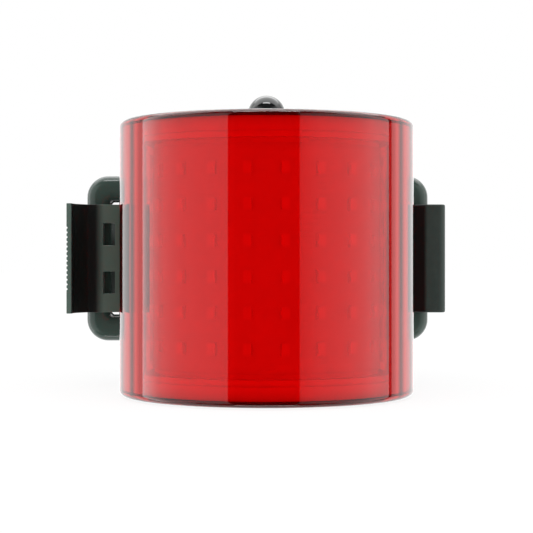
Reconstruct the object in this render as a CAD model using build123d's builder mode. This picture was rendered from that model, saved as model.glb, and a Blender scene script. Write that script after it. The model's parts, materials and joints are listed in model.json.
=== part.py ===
from build123d import *
import math
import os

os.makedirs("parts", exist_ok=True)

# Rear light for a bicycle. The origin is on the axis of the post it is strapped to, at the middle of
# the strap's width. Z is up along the post and the lens, and the lens faces -Y. All lengths are in mm.

# Post and the soft saddle between it and the frame
post_radius = 13.6
pad_thickness = 2.0  # at the saddle's thinnest
pad_width = 17.0
pad_corner = 1.5

# Lens
lens_radius = 20.0
lens_wall = 3.1
lens_height = 37.0  # over both caps
lens_end_round = 0.8
lens_gap_width = 10.4  # the slot at the back where the frame comes in
lens_gap_fit = 0.05  # to the frame's column, on each side

# Caps and gaskets
cap_seat_width = 1.75  # of the ledge in the lens that a cap's rim lies over
cap_thickness = 0.55
cap_edge_round = 0.3
cap_fit = 0.05
cap_boss_fit = 0.2  # in the carrier's bore
cap_boss_depth = 1.35
gasket_thickness = 0.15
gasket_inset = 0.2  # from the lens's bore and from the cap's rim

# LED carrier, a spool with thick end discs
core_gap = 1.65  # between the lens and the core
core_wall = 2.85
disc_fit = 0.2  # in the lens
disc_thickness = 2.75
disc_groove_level = 0.66  # of the fine line above the disc's inner face
disc_groove_height = 0.2
disc_groove_depth = 0.25
core_flat_wall = 1.1  # between the core's bore and the flat that the frame bears on
core_notch_fit = 0.15  # on each side of the frame's column
core_boss_width = 6.0
core_boss_height = 4.6
core_boss_reach = 2.4  # how far a screw boss stands into the bore
bumper_height = 0.95
bumper_sink = 0.2  # above the disc's inner face
bumper_width = 2.0
bumper_depth = 0.95
bumper_fit = 0.04  # between bumper and lens

# LED film and LEDs
film_thickness = 0.2
film_fit = 0.03  # round the core
film_end_gap = 0.6  # to each disc
film_end_angle = 159.0  # from the front, each way
led_width = 1.0
led_height = 1.5
led_thickness = 0.45
led_end_margin = 2.425  # from the film's ends to the outer rows
led_row_count = 6
led_column_pitch = 16.4  # degrees
led_column_count = 14

# Back frame with a barred loop at each side
frame_stand = 2.0  # from the lens's back to the face that the saddle lies on
frame_depth = 4.4
frame_arm_height = 3.9
left_reach_past_lens = 6.8
right_reach_past_lens = 4.1
frame_corner = 3.2
bar_width = 3.6
opening_gap = 0.45  # above and below the strap
opening_inner_edge = 9.0  # from the middle to the openings
opening_corner = 0.4
frame_edge_round = 1.6
frame_lens_gap = 0.3
column_film_gap = 0.3
column_pad_width = 6.4

# Screws
screw_radius = 1.0
cap_screw_setback = 2.4  # behind the carrier's flat
cap_screw_head_radius = 1.6
cap_screw_head_height = 0.3
cap_screw_length = 6.0
cap_screw_head_sink = 0.05
frame_screw_head_radius = 1.9
frame_screw_head_height = 1.3
frame_screw_sink = 1.6
frame_screw_end_gap = 0.1  # short of the boss's end
screw_head_fit = 0.1

# Strap
strap_thickness = 2.2
strap_width = 15.9
eye_side = 1.9  # wall of the eye towards the lens
eye_front = 2.4
eye_outer = 2.25
eye_back = 2.2
eye_slope_width = 5.0  # slanted part of the eye's front, on the lens's side
eye_slope_depth = 1.7
eye_outer_corner = 1.0
eye_inner_corner = 1.8
eye_fit = 0.05
knuckle_radius = 2.0
knuckle_end_gap = 0.3  # to each ear of the hook

# Hook and its pin
pin_radius = 0.9
pin_end_sink = 0.2  # below each end of the hook
pin_fit = 0.06
pin_behind_bar = 5.9  # from the bar's middle to the pin, backwards
pin_beside_bar = 1.3  # the same, outwards
claw_gap = 0.13  # to the bar as the hook swings
claw_thickness = 1.6
claw_tip_past_bar = 2.5
hook_bar_gap = 0.18
hook_wall = 1.82
lip_reach = 6.8  # in front of the bar
lip_edge = 0.8
lip_scoop_radius = 6.5
hook_ear_radius = 2.2
hook_ear_height = 2.1
hook_knuckle_gap = 0.35
window_width = 1.7
window_height = 3.27
window_setback = 2.55  # from the claw's tip to the windows' middle
window_level = 3.57

# Button in its collar, with the switch below
button_radius = 2.57
button_shank = 1.16  # from the cap's top to the dome
button_fit = 0.08
button_flange_fit = 0.2
button_flange_height = 0.5
button_skirt_gap = 0.05
stem_radius = 1.2
stem_fit = 0.08
collar_rim = 0.7
collar_height = 0.8
collar_skirt_wall = 0.55
collar_skirt_depth = 1.1
collar_edge_round = 0.3
seal_radius = 6.0
seal_thickness = 0.5
seal_depth = 1.0
seal_rim = 1.4
plunger_radius = 1.1
plunger_gap = 0.05  # below the stem
plunger_length = 1.5
plunger_stand = 0.65  # above the switch's body
plunger_fit = 0.05
switch_width = 6.0
switch_height = 1.8
switch_floor = 0.3
switch_board_gap = 3.4  # to the carrier's bore
switch_board_thickness = 0.8
switch_seal_gap = 1.0

# Cell and its cradles
cell_room = 4.6  # what the carrier's bore has in radius over the cell
cell_bottom_depth = 5.0  # above the lower cap's face
cell_wall = 0.2  # to the carrier's bore
cell_edge_round = 0.5
cradle_grip = 3.0
cradle_floor = 1.5
boss_cradle_gap = 0.2  # from a screw's boss to the cradle
cradle_opening_radius = 4.0
trench_width = 4.6
trench_depth = 0.9

# Main board and what stands on it
board_gap = 3.8  # behind the cell
board_thickness = 1.0
board_side_gap = 1.1  # to the carrier's bore
board_end_gap = 0.2  # to the lower cap's boss and to the switch's board
chip_height = 1.0
chip_gap = 0.8
large_chip = 5.0
small_chip = 2.6
plug_width = 5.6
plug_height = 4.0
plug_depth = 2.6
plug_level = 1.0
lead_radius = 0.45
lead_spread = 1.1
lead_bend = 1.0

# Charging socket and its flap
socket_width = 8.94
socket_depth = 3.26
socket_length = 7.3
socket_wall = 0.35
socket_corner = 1.55
tongue_width = 6.7
tongue_depth = 0.7
tongue_recess = 0.9
socket_fit = 0.2
port_margin = 0.22  # round the socket
recess_margin = 1.3  # round the port
recess_sink = 0.9
recess_corner = 1.5
flap_side_gap = 0.2
flap_thickness = 0.8
plug_side_gap = 0.3
plug_reach = 0.6

overrun = 1.0  # how far a cutting shape runs past what it cuts

# Sizes and places that follow
frame_rear = lens_radius + frame_stand
lens_y = -(frame_rear + pad_thickness + post_radius)
pad_height = strap_width
hook_height = strap_width
lens_axis = Axis((0, lens_y, 0), (0, 0, 1))
lens_bore_radius = lens_radius - lens_wall
cap_radius = lens_bore_radius + cap_seat_width
core_radius = lens_bore_radius - core_gap
core_bore_radius = core_radius - core_wall
core_flat_depth = core_bore_radius + core_flat_wall
end_level = lens_height / 2
disc_radius = lens_bore_radius - disc_fit
cap_boss_radius = core_bore_radius - cap_boss_fit
gasket_inner_radius = lens_bore_radius + gasket_inset
gasket_outer_radius = cap_radius - gasket_inset
frame_left_reach = lens_radius + left_reach_past_lens
frame_right_reach = lens_radius + right_reach_past_lens
opening_half_height = strap_width / 2 + opening_gap
frame_half_height = opening_half_height + frame_arm_height
column_width = lens_gap_width - lens_gap_fit * 2
core_notch_width = column_width + core_notch_fit * 2
cap_screw_place = core_flat_depth + cap_screw_setback
frame_screw_length = (
    frame_rear - frame_screw_sink - core_flat_depth + core_boss_reach - frame_screw_end_gap
)
cell_radius = core_bore_radius - cell_room
cell_offset = core_bore_radius - cell_radius - cell_wall
board_face = cell_radius - cell_offset + board_gap
board_width = 2 * (
    math.sqrt(core_bore_radius**2 - (board_face + board_thickness) ** 2) - board_side_gap
)
switch_board_radius = core_bore_radius - switch_board_gap
port_width = socket_width + port_margin * 2
port_depth = socket_depth + port_margin * 2
port_corner = socket_corner + port_margin
recess_width = port_width + recess_margin * 2
recess_depth = port_depth + recess_margin * 2
cap_inner_level = end_level - cap_thickness
seat_level = cap_inner_level - gasket_thickness
disc_level = cap_inner_level - disc_thickness
boss_level = cap_inner_level - cap_boss_depth
seal_bottom = boss_level - seal_depth
switch_level = seal_bottom - switch_seal_gap - switch_height
cradle_top_level = switch_level - switch_board_thickness
cell_top = cradle_top_level - cradle_floor
cell_length = cell_top + end_level - cell_bottom_depth
frame_screw_level = cell_top - cradle_grip - boss_cradle_gap - core_boss_height / 2
saddle_y = lens_y + frame_rear
bar_y = saddle_y - frame_depth / 2
left_bar_x = -(frame_left_reach - bar_width / 2)
right_bar_x = frame_right_reach - bar_width / 2
pin_x = left_bar_x - pin_beside_bar
pin_y = bar_y + pin_behind_bar
socket_y = lens_y + board_face - socket_depth / 2
cell_y = lens_y - cell_offset
film_inner_radius = core_radius + film_fit
film_radius = film_inner_radius + film_thickness
film_height = (disc_level - film_end_gap) * 2
led_row_pitch = (film_height - led_end_margin * 2 - led_height) / (led_row_count - 1)
bumper_level = disc_level + bumper_sink
column_front = film_radius + column_film_gap
claw_radius = claw_gap + frame_edge_round + math.hypot(
    pin_beside_bar + bar_width / 2 - frame_edge_round,
    pin_behind_bar + frame_depth / 2 - frame_edge_round,
)
claw_tip = frame_left_reach - bar_width - claw_tip_past_bar
hook_wall_inner = frame_left_reach + hook_bar_gap
hook_wall_outer = hook_wall_inner + hook_wall
lip_front = -(bar_y - frame_depth / 2 - lip_reach)
window_middle = claw_tip + window_setback
knuckle_height = hook_height - (hook_ear_height + knuckle_end_gap) * 2
pin_length = hook_height - pin_end_sink * 2
collar_skirt_radius = button_radius + button_fit + collar_skirt_wall
collar_radius = collar_skirt_radius + collar_rim
collar_skirt_end = end_level - collar_skirt_depth
button_flange_radius = collar_skirt_radius - button_flange_fit
button_dome_level = end_level + button_shank
plunger_top = switch_level + switch_height + plunger_stand
stem_end = plunger_top + plunger_gap
board_bottom = -boss_level + board_end_gap
board_top = cradle_top_level - board_end_gap


def lens_plane(level):
    """A level plane whose origin is on the lens axis."""
    return Plane(origin=(0, lens_y, level), x_dir=(1, 0, 0), z_dir=(0, 0, 1))


def upright_plane(y):
    """An upright plane that faces the back, seen with Z up and -X to the right."""
    return Plane(origin=(0, y, 0), x_dir=(-1, 0, 0), z_dir=(0, 1, 0))


# Lens: a thick tube with rounded ends, a seat for each cap and a slot at the back
with BuildPart() as lens:
    with BuildSketch(lens_plane(-end_level)):
        Circle(lens_radius)
    extrude(amount=lens_height)
    fillet(lens.edges().filter_by(GeomType.CIRCLE), lens_end_round)
    with BuildSketch(lens_plane(-end_level)):
        Circle(lens_bore_radius)
    extrude(amount=lens_height, mode=Mode.SUBTRACT)
    with BuildSketch(lens_plane(seat_level)):
        Circle(cap_radius + cap_fit)
    extrude(amount=overrun + end_level - seat_level, mode=Mode.SUBTRACT)
    with BuildSketch(lens_plane(-seat_level)):
        Circle(cap_radius + cap_fit)
    extrude(amount=-(overrun + end_level - seat_level), mode=Mode.SUBTRACT)
    with BuildSketch(lens_plane(-end_level)):
        with Locations((0, lens_bore_radius)):
            Rectangle(lens_gap_width, lens_radius)
    extrude(amount=lens_height, mode=Mode.SUBTRACT)
lens.part.label = "lens"
export_step(lens.part, "parts/lens.step")

# Gaskets: flat rings between the lens's seats and the caps, open at the back like the lens
with BuildPart() as top_gasket:
    with BuildSketch(lens_plane(seat_level)):
        Circle(gasket_outer_radius)
        Circle(gasket_inner_radius, mode=Mode.SUBTRACT)
        with Locations((0, gasket_outer_radius)):
            Rectangle(lens_gap_width, gasket_outer_radius, mode=Mode.SUBTRACT)
    extrude(amount=gasket_thickness)
top_gasket.part.label = "top_gasket"
export_step(top_gasket.part, "parts/top_gasket.step")

with BuildPart() as bottom_gasket:
    with BuildSketch(lens_plane(-seat_level)):
        Circle(gasket_outer_radius)
        Circle(gasket_inner_radius, mode=Mode.SUBTRACT)
        with Locations((0, gasket_outer_radius)):
            Rectangle(lens_gap_width, gasket_outer_radius, mode=Mode.SUBTRACT)
    extrude(amount=-gasket_thickness)
bottom_gasket.part.label = "bottom_gasket"
export_step(bottom_gasket.part, "parts/bottom_gasket.step")

# Top cap: a disc with a boss below, a hole for the button's collar and one for its screw
with BuildPart() as top_cap:
    with BuildSketch(lens_plane(cap_inner_level)):
        Circle(cap_radius)
    extrude(amount=cap_thickness)
    fillet(top_cap.edges().group_by(Axis.Z)[-1], cap_edge_round)
    with BuildSketch(lens_plane(boss_level)):
        Circle(cap_boss_radius)
    extrude(amount=cap_boss_depth)
    with BuildSketch(lens_plane(end_level)):
        Circle(collar_skirt_radius)
        with Locations((0, cap_screw_place)):
            Circle(screw_radius)
    extrude(amount=-(cap_thickness + cap_boss_depth), mode=Mode.SUBTRACT)
    with BuildSketch(lens_plane(end_level)):
        with Locations((0, cap_screw_place)):
            Circle(cap_screw_head_radius + screw_head_fit)
    extrude(amount=-(cap_screw_head_height + cap_screw_head_sink), mode=Mode.SUBTRACT)
top_cap.part.label = "top_cap"
export_step(top_cap.part, "parts/top_cap.step")

# Bottom cap: the same disc with the charging port and the recess of its flap
with BuildPart() as bottom_cap:
    with BuildSketch(lens_plane(-cap_inner_level)):
        Circle(cap_radius)
    extrude(amount=-cap_thickness)
    fillet(bottom_cap.edges().group_by(Axis.Z)[0], cap_edge_round)
    with BuildSketch(lens_plane(-boss_level)):
        Circle(cap_boss_radius)
    extrude(amount=-cap_boss_depth)
    with BuildSketch(lens_plane(-end_level)):
        with Locations((0, socket_y - lens_y)):
            RectangleRounded(port_width, port_depth, port_corner)
        with Locations((0, cap_screw_place)):
            Circle(screw_radius)
    extrude(amount=cap_thickness + cap_boss_depth, mode=Mode.SUBTRACT)
    with BuildSketch(lens_plane(-end_level)):
        with Locations((0, socket_y - lens_y)):
            RectangleRounded(recess_width, recess_depth, recess_corner)
    extrude(amount=recess_sink, mode=Mode.SUBTRACT)
    with BuildSketch(lens_plane(-end_level)):
        with Locations((0, cap_screw_place)):
            Circle(cap_screw_head_radius + screw_head_fit)
    extrude(amount=cap_screw_head_height + cap_screw_head_sink, mode=Mode.SUBTRACT)
bottom_cap.part.label = "bottom_cap"
export_step(bottom_cap.part, "parts/bottom_cap.step")

# LED carrier: a spool, flattened and notched at the back for the frame, with two screw bosses inside
with BuildPart() as led_carrier:
    with BuildSketch(lens_plane(-cap_inner_level)):
        Circle(core_radius)
    extrude(amount=cap_inner_level * 2)
    with BuildSketch(lens_plane(disc_level), lens_plane(-cap_inner_level)):
        Circle(disc_radius)
    extrude(amount=disc_thickness)
    groove_level = disc_level + disc_groove_level
    with BuildSketch(lens_plane(groove_level), lens_plane(-groove_level - disc_groove_height)):
        Circle(disc_radius)
        Circle(disc_radius - disc_groove_depth, mode=Mode.SUBTRACT)
    extrude(amount=disc_groove_height, mode=Mode.SUBTRACT)
    with BuildSketch(lens_plane(-cap_inner_level)):
        Circle(core_bore_radius)
    extrude(amount=cap_inner_level * 2, mode=Mode.SUBTRACT)
    with BuildSketch(lens_plane(frame_screw_level), lens_plane(-frame_screw_level)):
        with Locations((0, core_flat_depth - core_boss_reach / 2)):
            Rectangle(core_boss_width, core_boss_reach)
    extrude(amount=core_boss_height / 2, both=True)
    with BuildSketch(lens_plane(-cap_inner_level)):
        with Locations((0, core_flat_depth + disc_radius / 2)):
            Rectangle(core_notch_width, disc_radius)
    extrude(amount=cap_inner_level * 2, mode=Mode.SUBTRACT)
    with BuildSketch(lens_plane(bumper_level), lens_plane(-bumper_level - bumper_height)):
        with Locations((disc_radius, 0), (-disc_radius, 0)):
            Rectangle(bumper_depth * 2, bumper_width)
    extrude(amount=bumper_height, mode=Mode.SUBTRACT)
    with BuildSketch(upright_plane(lens_y + core_flat_depth)):
        with Locations((0, frame_screw_level), (0, -frame_screw_level)):
            Circle(screw_radius)
    extrude(amount=-(core_boss_reach + overrun), mode=Mode.SUBTRACT)
led_carrier.part.label = "led_carrier"
export_step(led_carrier.part, "parts/led_carrier.step")

# Bumpers: small soft blocks let into the rims of the discs, bearing on the lens
with BuildPart() as core_bumpers:
    with BuildSketch(lens_plane(bumper_level), lens_plane(-bumper_level - bumper_height)):
        inner_edge = disc_radius - bumper_depth
        outer_edge = lens_bore_radius - bumper_fit
        for side in (1, -1):
            with Locations((side * (inner_edge + outer_edge) / 2, 0)):
                Rectangle(outer_edge - inner_edge, bumper_width)
        Circle(outer_edge, mode=Mode.INTERSECT)
    extrude(amount=bumper_height)
core_bumpers.part.label = "core_bumpers"
export_step(core_bumpers.part, "parts/core_bumpers.step")

# LED film: a thin board bent round the carrier, open at the back
film_end = math.radians(film_end_angle)
film_gap_x = film_radius * math.sin(film_end)
film_gap_y = -film_radius * math.cos(film_end)
with BuildPart() as led_film:
    with BuildSketch(lens_plane(-film_height / 2)):
        Circle(film_radius)
        Circle(film_inner_radius, mode=Mode.SUBTRACT)
        with BuildLine():
            Polyline(
                (0, 0),
                (film_gap_x * 2, film_gap_y * 2),
                (-film_gap_x * 2, film_gap_y * 2),
                close=True,
            )
        make_face(mode=Mode.SUBTRACT)
    extrude(amount=film_height)
led_film.part.label = "led_film"
export_step(led_film.part, "parts/led_film.step")

# LEDs: rows and columns of chips on the film
led_radius = film_radius + led_thickness / 2
with BuildPart() as leds:
    for row in range(led_row_count):
        level = led_row_pitch * (row - (led_row_count - 1) / 2)
        for column in range(led_column_count):
            turn = led_column_pitch * (column - (led_column_count - 1) / 2)
            across = led_radius * math.sin(math.radians(turn))
            ahead = led_radius * math.cos(math.radians(turn))
            with Locations(Location((across, lens_y - ahead, level), (0, 0, turn))):
                Box(led_width, led_thickness, led_height)
leds.part.label = "leds"
export_step(leds.part, "parts/leds.step")

# Back frame: a flat frame of round section with a loop at each side, and a column into the lens's slot
frame_middle_x = (frame_right_reach - frame_left_reach) / 2
left_opening_outer = frame_left_reach - bar_width
right_opening_outer = frame_right_reach - bar_width
with BuildPart() as back_frame:
    with BuildSketch(upright_plane(saddle_y - frame_depth)):
        with Locations((-frame_middle_x, 0)):
            RectangleRounded(frame_left_reach + frame_right_reach, frame_half_height * 2, frame_corner)
        with Locations(((left_opening_outer + opening_inner_edge) / 2, 0)):
            RectangleRounded(
                left_opening_outer - opening_inner_edge,
                opening_half_height * 2,
                opening_corner,
                mode=Mode.SUBTRACT,
            )
        with Locations((-(right_opening_outer + opening_inner_edge) / 2, 0)):
            RectangleRounded(
                right_opening_outer - opening_inner_edge,
                opening_half_height * 2,
                opening_corner,
                mode=Mode.SUBTRACT,
            )
    extrude(amount=frame_depth)
    fillet(back_frame.edges().group_by(Axis.Y)[0], frame_edge_round)
    fillet(back_frame.edges().group_by(Axis.Y)[-1], frame_edge_round)
    with BuildSketch(lens_plane(-end_level)):
        Circle(lens_radius + frame_lens_gap)
    extrude(amount=lens_height, mode=Mode.SUBTRACT)
    with BuildSketch(lens_plane(-cap_inner_level)):
        with Locations((0, (column_front + frame_rear) / 2)):
            Rectangle(column_width, frame_rear - column_front)
        with Locations((0, (core_flat_depth + frame_rear) / 2)):
            Rectangle(column_pad_width, frame_rear - core_flat_depth)
    extrude(amount=cap_inner_level * 2)
    with BuildSketch(lens_plane(cap_inner_level)):
        with Locations((0, cap_screw_place)):
            Circle(screw_radius)
    extrude(amount=-cap_screw_length, mode=Mode.SUBTRACT)
    with BuildSketch(lens_plane(-cap_inner_level)):
        with Locations((0, cap_screw_place)):
            Circle(screw_radius)
    extrude(amount=cap_screw_length, mode=Mode.SUBTRACT)
    with BuildSketch(upright_plane(saddle_y)):
        with Locations((0, frame_screw_level), (0, -frame_screw_level)):
            Circle(screw_radius)
    extrude(amount=-(frame_rear - core_flat_depth), mode=Mode.SUBTRACT)
    with BuildSketch(upright_plane(saddle_y)):
        with Locations((0, frame_screw_level), (0, -frame_screw_level)):
            Circle(frame_screw_head_radius + screw_head_fit)
    extrude(amount=-frame_screw_sink, mode=Mode.SUBTRACT)
back_frame.part.label = "back_frame"
export_step(back_frame.part, "parts/back_frame.step")

# Screws of the caps, driven into the ends of the column
head_level = end_level - cap_screw_head_sink
with BuildPart() as cap_screws:
    with BuildSketch(lens_plane(head_level)):
        with Locations((0, cap_screw_place)):
            Circle(cap_screw_head_radius)
    extrude(amount=-cap_screw_head_height)
    with BuildSketch(lens_plane(head_level - cap_screw_head_height)):
        with Locations((0, cap_screw_place)):
            Circle(screw_radius)
    extrude(amount=-(cap_screw_length - cap_screw_head_height))
    with BuildSketch(lens_plane(-head_level)):
        with Locations((0, cap_screw_place)):
            Circle(cap_screw_head_radius)
    extrude(amount=cap_screw_head_height)
    with BuildSketch(lens_plane(-(head_level - cap_screw_head_height))):
        with Locations((0, cap_screw_place)):
            Circle(screw_radius)
    extrude(amount=cap_screw_length - cap_screw_head_height)
cap_screws.part.label = "cap_screws"
export_step(cap_screws.part, "parts/cap_screws.step")

# Screws of the frame, driven from under the saddle into the carrier's bosses
with BuildPart() as frame_screws:
    with BuildSketch(upright_plane(saddle_y - frame_screw_sink)):
        with Locations((0, frame_screw_level), (0, -frame_screw_level)):
            Circle(frame_screw_head_radius)
    extrude(amount=frame_screw_head_height)
    with BuildSketch(upright_plane(saddle_y - frame_screw_sink)):
        with Locations((0, frame_screw_level), (0, -frame_screw_level)):
            Circle(screw_radius)
    extrude(amount=-frame_screw_length)
frame_screws.part.label = "frame_screws"
export_step(frame_screws.part, "parts/frame_screws.step")

# Saddle: a soft block between the frame and the post, hollowed to the post's radius
pad_edge_y = -math.sqrt(post_radius**2 - (pad_width / 2) ** 2)
with BuildPart() as post_pad:
    with BuildSketch(Plane.XY.offset(-pad_height / 2)):
        with Locations((0, (saddle_y + pad_edge_y) / 2)):
            Rectangle(pad_width, pad_edge_y - saddle_y)
    extrude(amount=pad_height)
    fillet(post_pad.edges().filter_by(Axis.Y), pad_corner)
    with BuildSketch(Plane.XY.offset(-pad_height / 2)):
        Circle(post_radius)
    extrude(amount=pad_height, mode=Mode.SUBTRACT)
post_pad.part.label = "post_pad"
export_step(post_pad.part, "parts/post_pad.step")

# Strap: a soft band from the eye on the right bar round the post to the knuckle at the pin
band_radius = post_radius + strap_thickness / 2
right_distance = math.hypot(right_bar_x, bar_y)
right_tangent = math.atan2(bar_y, right_bar_x) + math.acos(band_radius / right_distance)
pin_distance = math.hypot(pin_x, pin_y)
pin_bearing = math.atan2(pin_y, pin_x) % math.tau
left_tangent = pin_bearing - math.acos(band_radius / pin_distance)
eye_left = right_bar_x - bar_width / 2 - eye_side
eye_right = right_bar_x + bar_width / 2 + eye_outer
eye_front_y = bar_y - frame_depth / 2 - eye_front
eye_back_y = bar_y + frame_depth / 2 + eye_back
with BuildPart() as strap:
    with BuildSketch(Plane.XY.offset(-strap_width / 2)):
        with BuildLine():
            Line(
                (right_bar_x, bar_y),
                (band_radius * math.cos(right_tangent), band_radius * math.sin(right_tangent)),
            )
            CenterArc(
                (0, 0),
                band_radius,
                math.degrees(right_tangent),
                math.degrees(left_tangent - right_tangent),
            )
            Line(
                (band_radius * math.cos(left_tangent), band_radius * math.sin(left_tangent)),
                (pin_x, pin_y),
            )
        trace(line_width=strap_thickness)
        with BuildLine():
            Polyline(
                (eye_left, eye_front_y + eye_slope_depth),
                (eye_left + eye_slope_width, eye_front_y),
                (eye_right - eye_outer_corner, eye_front_y),
                (eye_right, eye_front_y + eye_outer_corner),
                (eye_right, eye_back_y - eye_inner_corner),
                (eye_right - eye_inner_corner, eye_back_y),
                (eye_left + eye_inner_corner, eye_back_y),
                (eye_left, eye_back_y - eye_inner_corner),
                close=True,
            )
        make_face()
        with Locations((pin_x, pin_y)):
            Circle(knuckle_radius)
        with Locations((right_bar_x, bar_y)):
            RectangleRounded(
                bar_width + eye_fit * 2,
                frame_depth + eye_fit * 2,
                frame_edge_round,
                mode=Mode.SUBTRACT,
            )
        with Locations((pin_x, pin_y)):
            Circle(pin_radius + pin_fit, mode=Mode.SUBTRACT)
    extrude(amount=strap_width)
    with BuildSketch(Plane.XY.offset(knuckle_height / 2)):
        with Locations((pin_x, pin_y)):
            Circle(hook_ear_radius + hook_knuckle_gap)
    extrude(amount=strap_width, mode=Mode.SUBTRACT)
    with BuildSketch(Plane.XY.offset(-knuckle_height / 2)):
        with Locations((pin_x, pin_y)):
            Circle(hook_ear_radius + hook_knuckle_gap)
    extrude(amount=-strap_width, mode=Mode.SUBTRACT)
strap.part.label = "strap"
export_step(strap.part, "parts/strap.step")

# Hook: a claw that is curved about the pin, a side wall with an ear at each end, and a finger lip
claw_outer = claw_radius + claw_thickness
tip_reach = pin_x + claw_tip  # negative, from the tip to the pin
wall_reach = pin_x + hook_wall_inner
claw_inner_tip_y = pin_y - math.sqrt(claw_radius**2 - tip_reach**2)
claw_outer_tip_y = pin_y - math.sqrt(claw_outer**2 - tip_reach**2)
claw_inner_wall_y = pin_y - math.sqrt(claw_radius**2 - wall_reach**2)
scoop_end_y = pin_y - math.sqrt(claw_outer**2 - wall_reach**2)
ear_level = hook_height / 2 - hook_ear_height
with BuildPart() as hook:
    with BuildSketch(Plane.XY.offset(-hook_height / 2)):
        with BuildLine():
            RadiusArc((-claw_tip, claw_inner_tip_y), (-hook_wall_inner, claw_inner_wall_y), claw_radius)
            Line((-hook_wall_inner, claw_inner_wall_y), (-hook_wall_inner, pin_y))
            Line((-hook_wall_inner, pin_y), (-hook_wall_outer, pin_y))
            Line((-hook_wall_outer, pin_y), (-hook_wall_outer, -lip_front))
            Line((-hook_wall_outer, -lip_front), (-hook_wall_outer + lip_edge, -lip_front))
            RadiusArc(
                (-hook_wall_outer + lip_edge, -lip_front),
                (pin_x, pin_y - claw_outer),
                lip_scoop_radius,
            )
            RadiusArc((pin_x, pin_y - claw_outer), (-claw_tip, claw_outer_tip_y), -claw_outer)
            Line((-claw_tip, claw_outer_tip_y), (-claw_tip, claw_inner_tip_y))
        make_face()
        with Locations((pin_x, pin_y)):
            Circle(hook_ear_radius)
    extrude(amount=hook_height)
    with BuildSketch(Plane.XY.offset(-ear_level)):
        with Locations((pin_x, pin_y)):
            Circle(knuckle_radius + hook_knuckle_gap)
    extrude(amount=ear_level * 2, mode=Mode.SUBTRACT)
    with BuildSketch(Plane.XY.offset(-hook_height / 2)):
        with Locations((pin_x, pin_y)):
            Circle(pin_radius)
    extrude(amount=hook_height, mode=Mode.SUBTRACT)
    with BuildSketch(upright_plane(pin_y - claw_radius * math.cos(math.pi / 4))):
        with Locations((window_middle, window_level), (window_middle, -window_level)):
            Rectangle(window_width, window_height)
    extrude(amount=-claw_outer, mode=Mode.SUBTRACT)
hook.part.label = "hook"
export_step(hook.part, "parts/hook.step")

# Pin: pressed into the hook's ears, turning in the strap's knuckle
with BuildPart() as hook_pin:
    with BuildSketch(Plane.XY.offset(-pin_length / 2)):
        with Locations((pin_x, pin_y)):
            Circle(pin_radius)
    extrude(amount=pin_length)
hook_pin.part.label = "hook_pin"
export_step(hook_pin.part, "parts/hook_pin.step")

# Button: a dome on a short shank, a flange that keeps it in and a stem down to the switch
flange_top = collar_skirt_end - button_skirt_gap
flange_bottom = flange_top - button_flange_height
with BuildPart() as button:
    with BuildSketch(Plane(origin=(0, lens_y, 0), x_dir=(1, 0, 0), z_dir=(0, -1, 0))):
        with BuildLine():
            Line((0, stem_end), (stem_radius, stem_end))
            Line((stem_radius, stem_end), (stem_radius, flange_bottom))
            Line((stem_radius, flange_bottom), (button_flange_radius, flange_bottom))
            Line((button_flange_radius, flange_bottom), (button_flange_radius, flange_top))
            Line((button_flange_radius, flange_top), (button_radius, flange_top))
            Line((button_radius, flange_top), (button_radius, button_dome_level))
            CenterArc((0, button_dome_level), button_radius, 0, 90)
            Line((0, button_dome_level + button_radius), (0, stem_end))
        make_face()
    revolve(axis=lens_axis)
button.part.label = "button"
export_step(button.part, "parts/button.step")

# Collar: a ring on the cap with a skirt through it
with BuildPart() as button_collar:
    with BuildSketch(lens_plane(end_level)):
        Circle(collar_radius)
    extrude(amount=collar_height)
    fillet(button_collar.edges().group_by(Axis.Z)[-1], collar_edge_round)
    with BuildSketch(lens_plane(collar_skirt_end)):
        Circle(collar_skirt_radius)
    extrude(amount=end_level - collar_skirt_end)
    with BuildSketch(lens_plane(collar_skirt_end)):
        Circle(button_radius + button_fit)
    extrude(amount=lens_height, mode=Mode.SUBTRACT)
button_collar.part.label = "button_collar"
export_step(button_collar.part, "parts/button_collar.step")

# Seal: a soft dished ring round the stem, hung from the cap's boss
with BuildPart() as button_seal:
    with BuildSketch(lens_plane(seal_bottom)):
        Circle(seal_radius)
        Circle(stem_radius + stem_fit, mode=Mode.SUBTRACT)
    extrude(amount=seal_thickness)
    with BuildSketch(lens_plane(seal_bottom)):
        Circle(seal_radius)
        Circle(seal_radius - seal_rim, mode=Mode.SUBTRACT)
    extrude(amount=seal_depth)
button_seal.part.label = "button_seal"
export_step(button_seal.part, "parts/button_seal.step")

# Cell cradles: round blocks inside the carrier that hold the cell's ends and the board's edges
cell_bottom = cell_top - cell_length
with BuildPart() as cradle_top:
    with BuildSketch(lens_plane(cell_top - cradle_grip)):
        Circle(core_bore_radius)
    extrude(amount=cradle_grip + cradle_floor)
    with BuildSketch(lens_plane(cell_top - cradle_grip)):
        with Locations((0, -cell_offset)):
            Circle(cell_radius)
    extrude(amount=cradle_grip, mode=Mode.SUBTRACT)
    with BuildSketch(lens_plane(cell_top)):
        with Locations((0, -cell_offset)):
            Circle(cradle_opening_radius)
    extrude(amount=cradle_floor, mode=Mode.SUBTRACT)
    with BuildSketch(lens_plane(cell_top - cradle_grip)):
        with Locations((0, (board_face - cell_offset) / 2)):
            Rectangle(trench_width, board_face + cell_offset)
    extrude(amount=cradle_grip + trench_depth, mode=Mode.SUBTRACT)
    with BuildSketch(lens_plane(cell_top - cradle_grip)):
        with Locations((0, board_face + board_thickness / 2)):
            Rectangle(board_width, board_thickness)
    extrude(amount=board_top - cell_top + cradle_grip, mode=Mode.SUBTRACT)
cradle_top.part.label = "cradle_top"
export_step(cradle_top.part, "parts/cradle_top.step")

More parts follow.
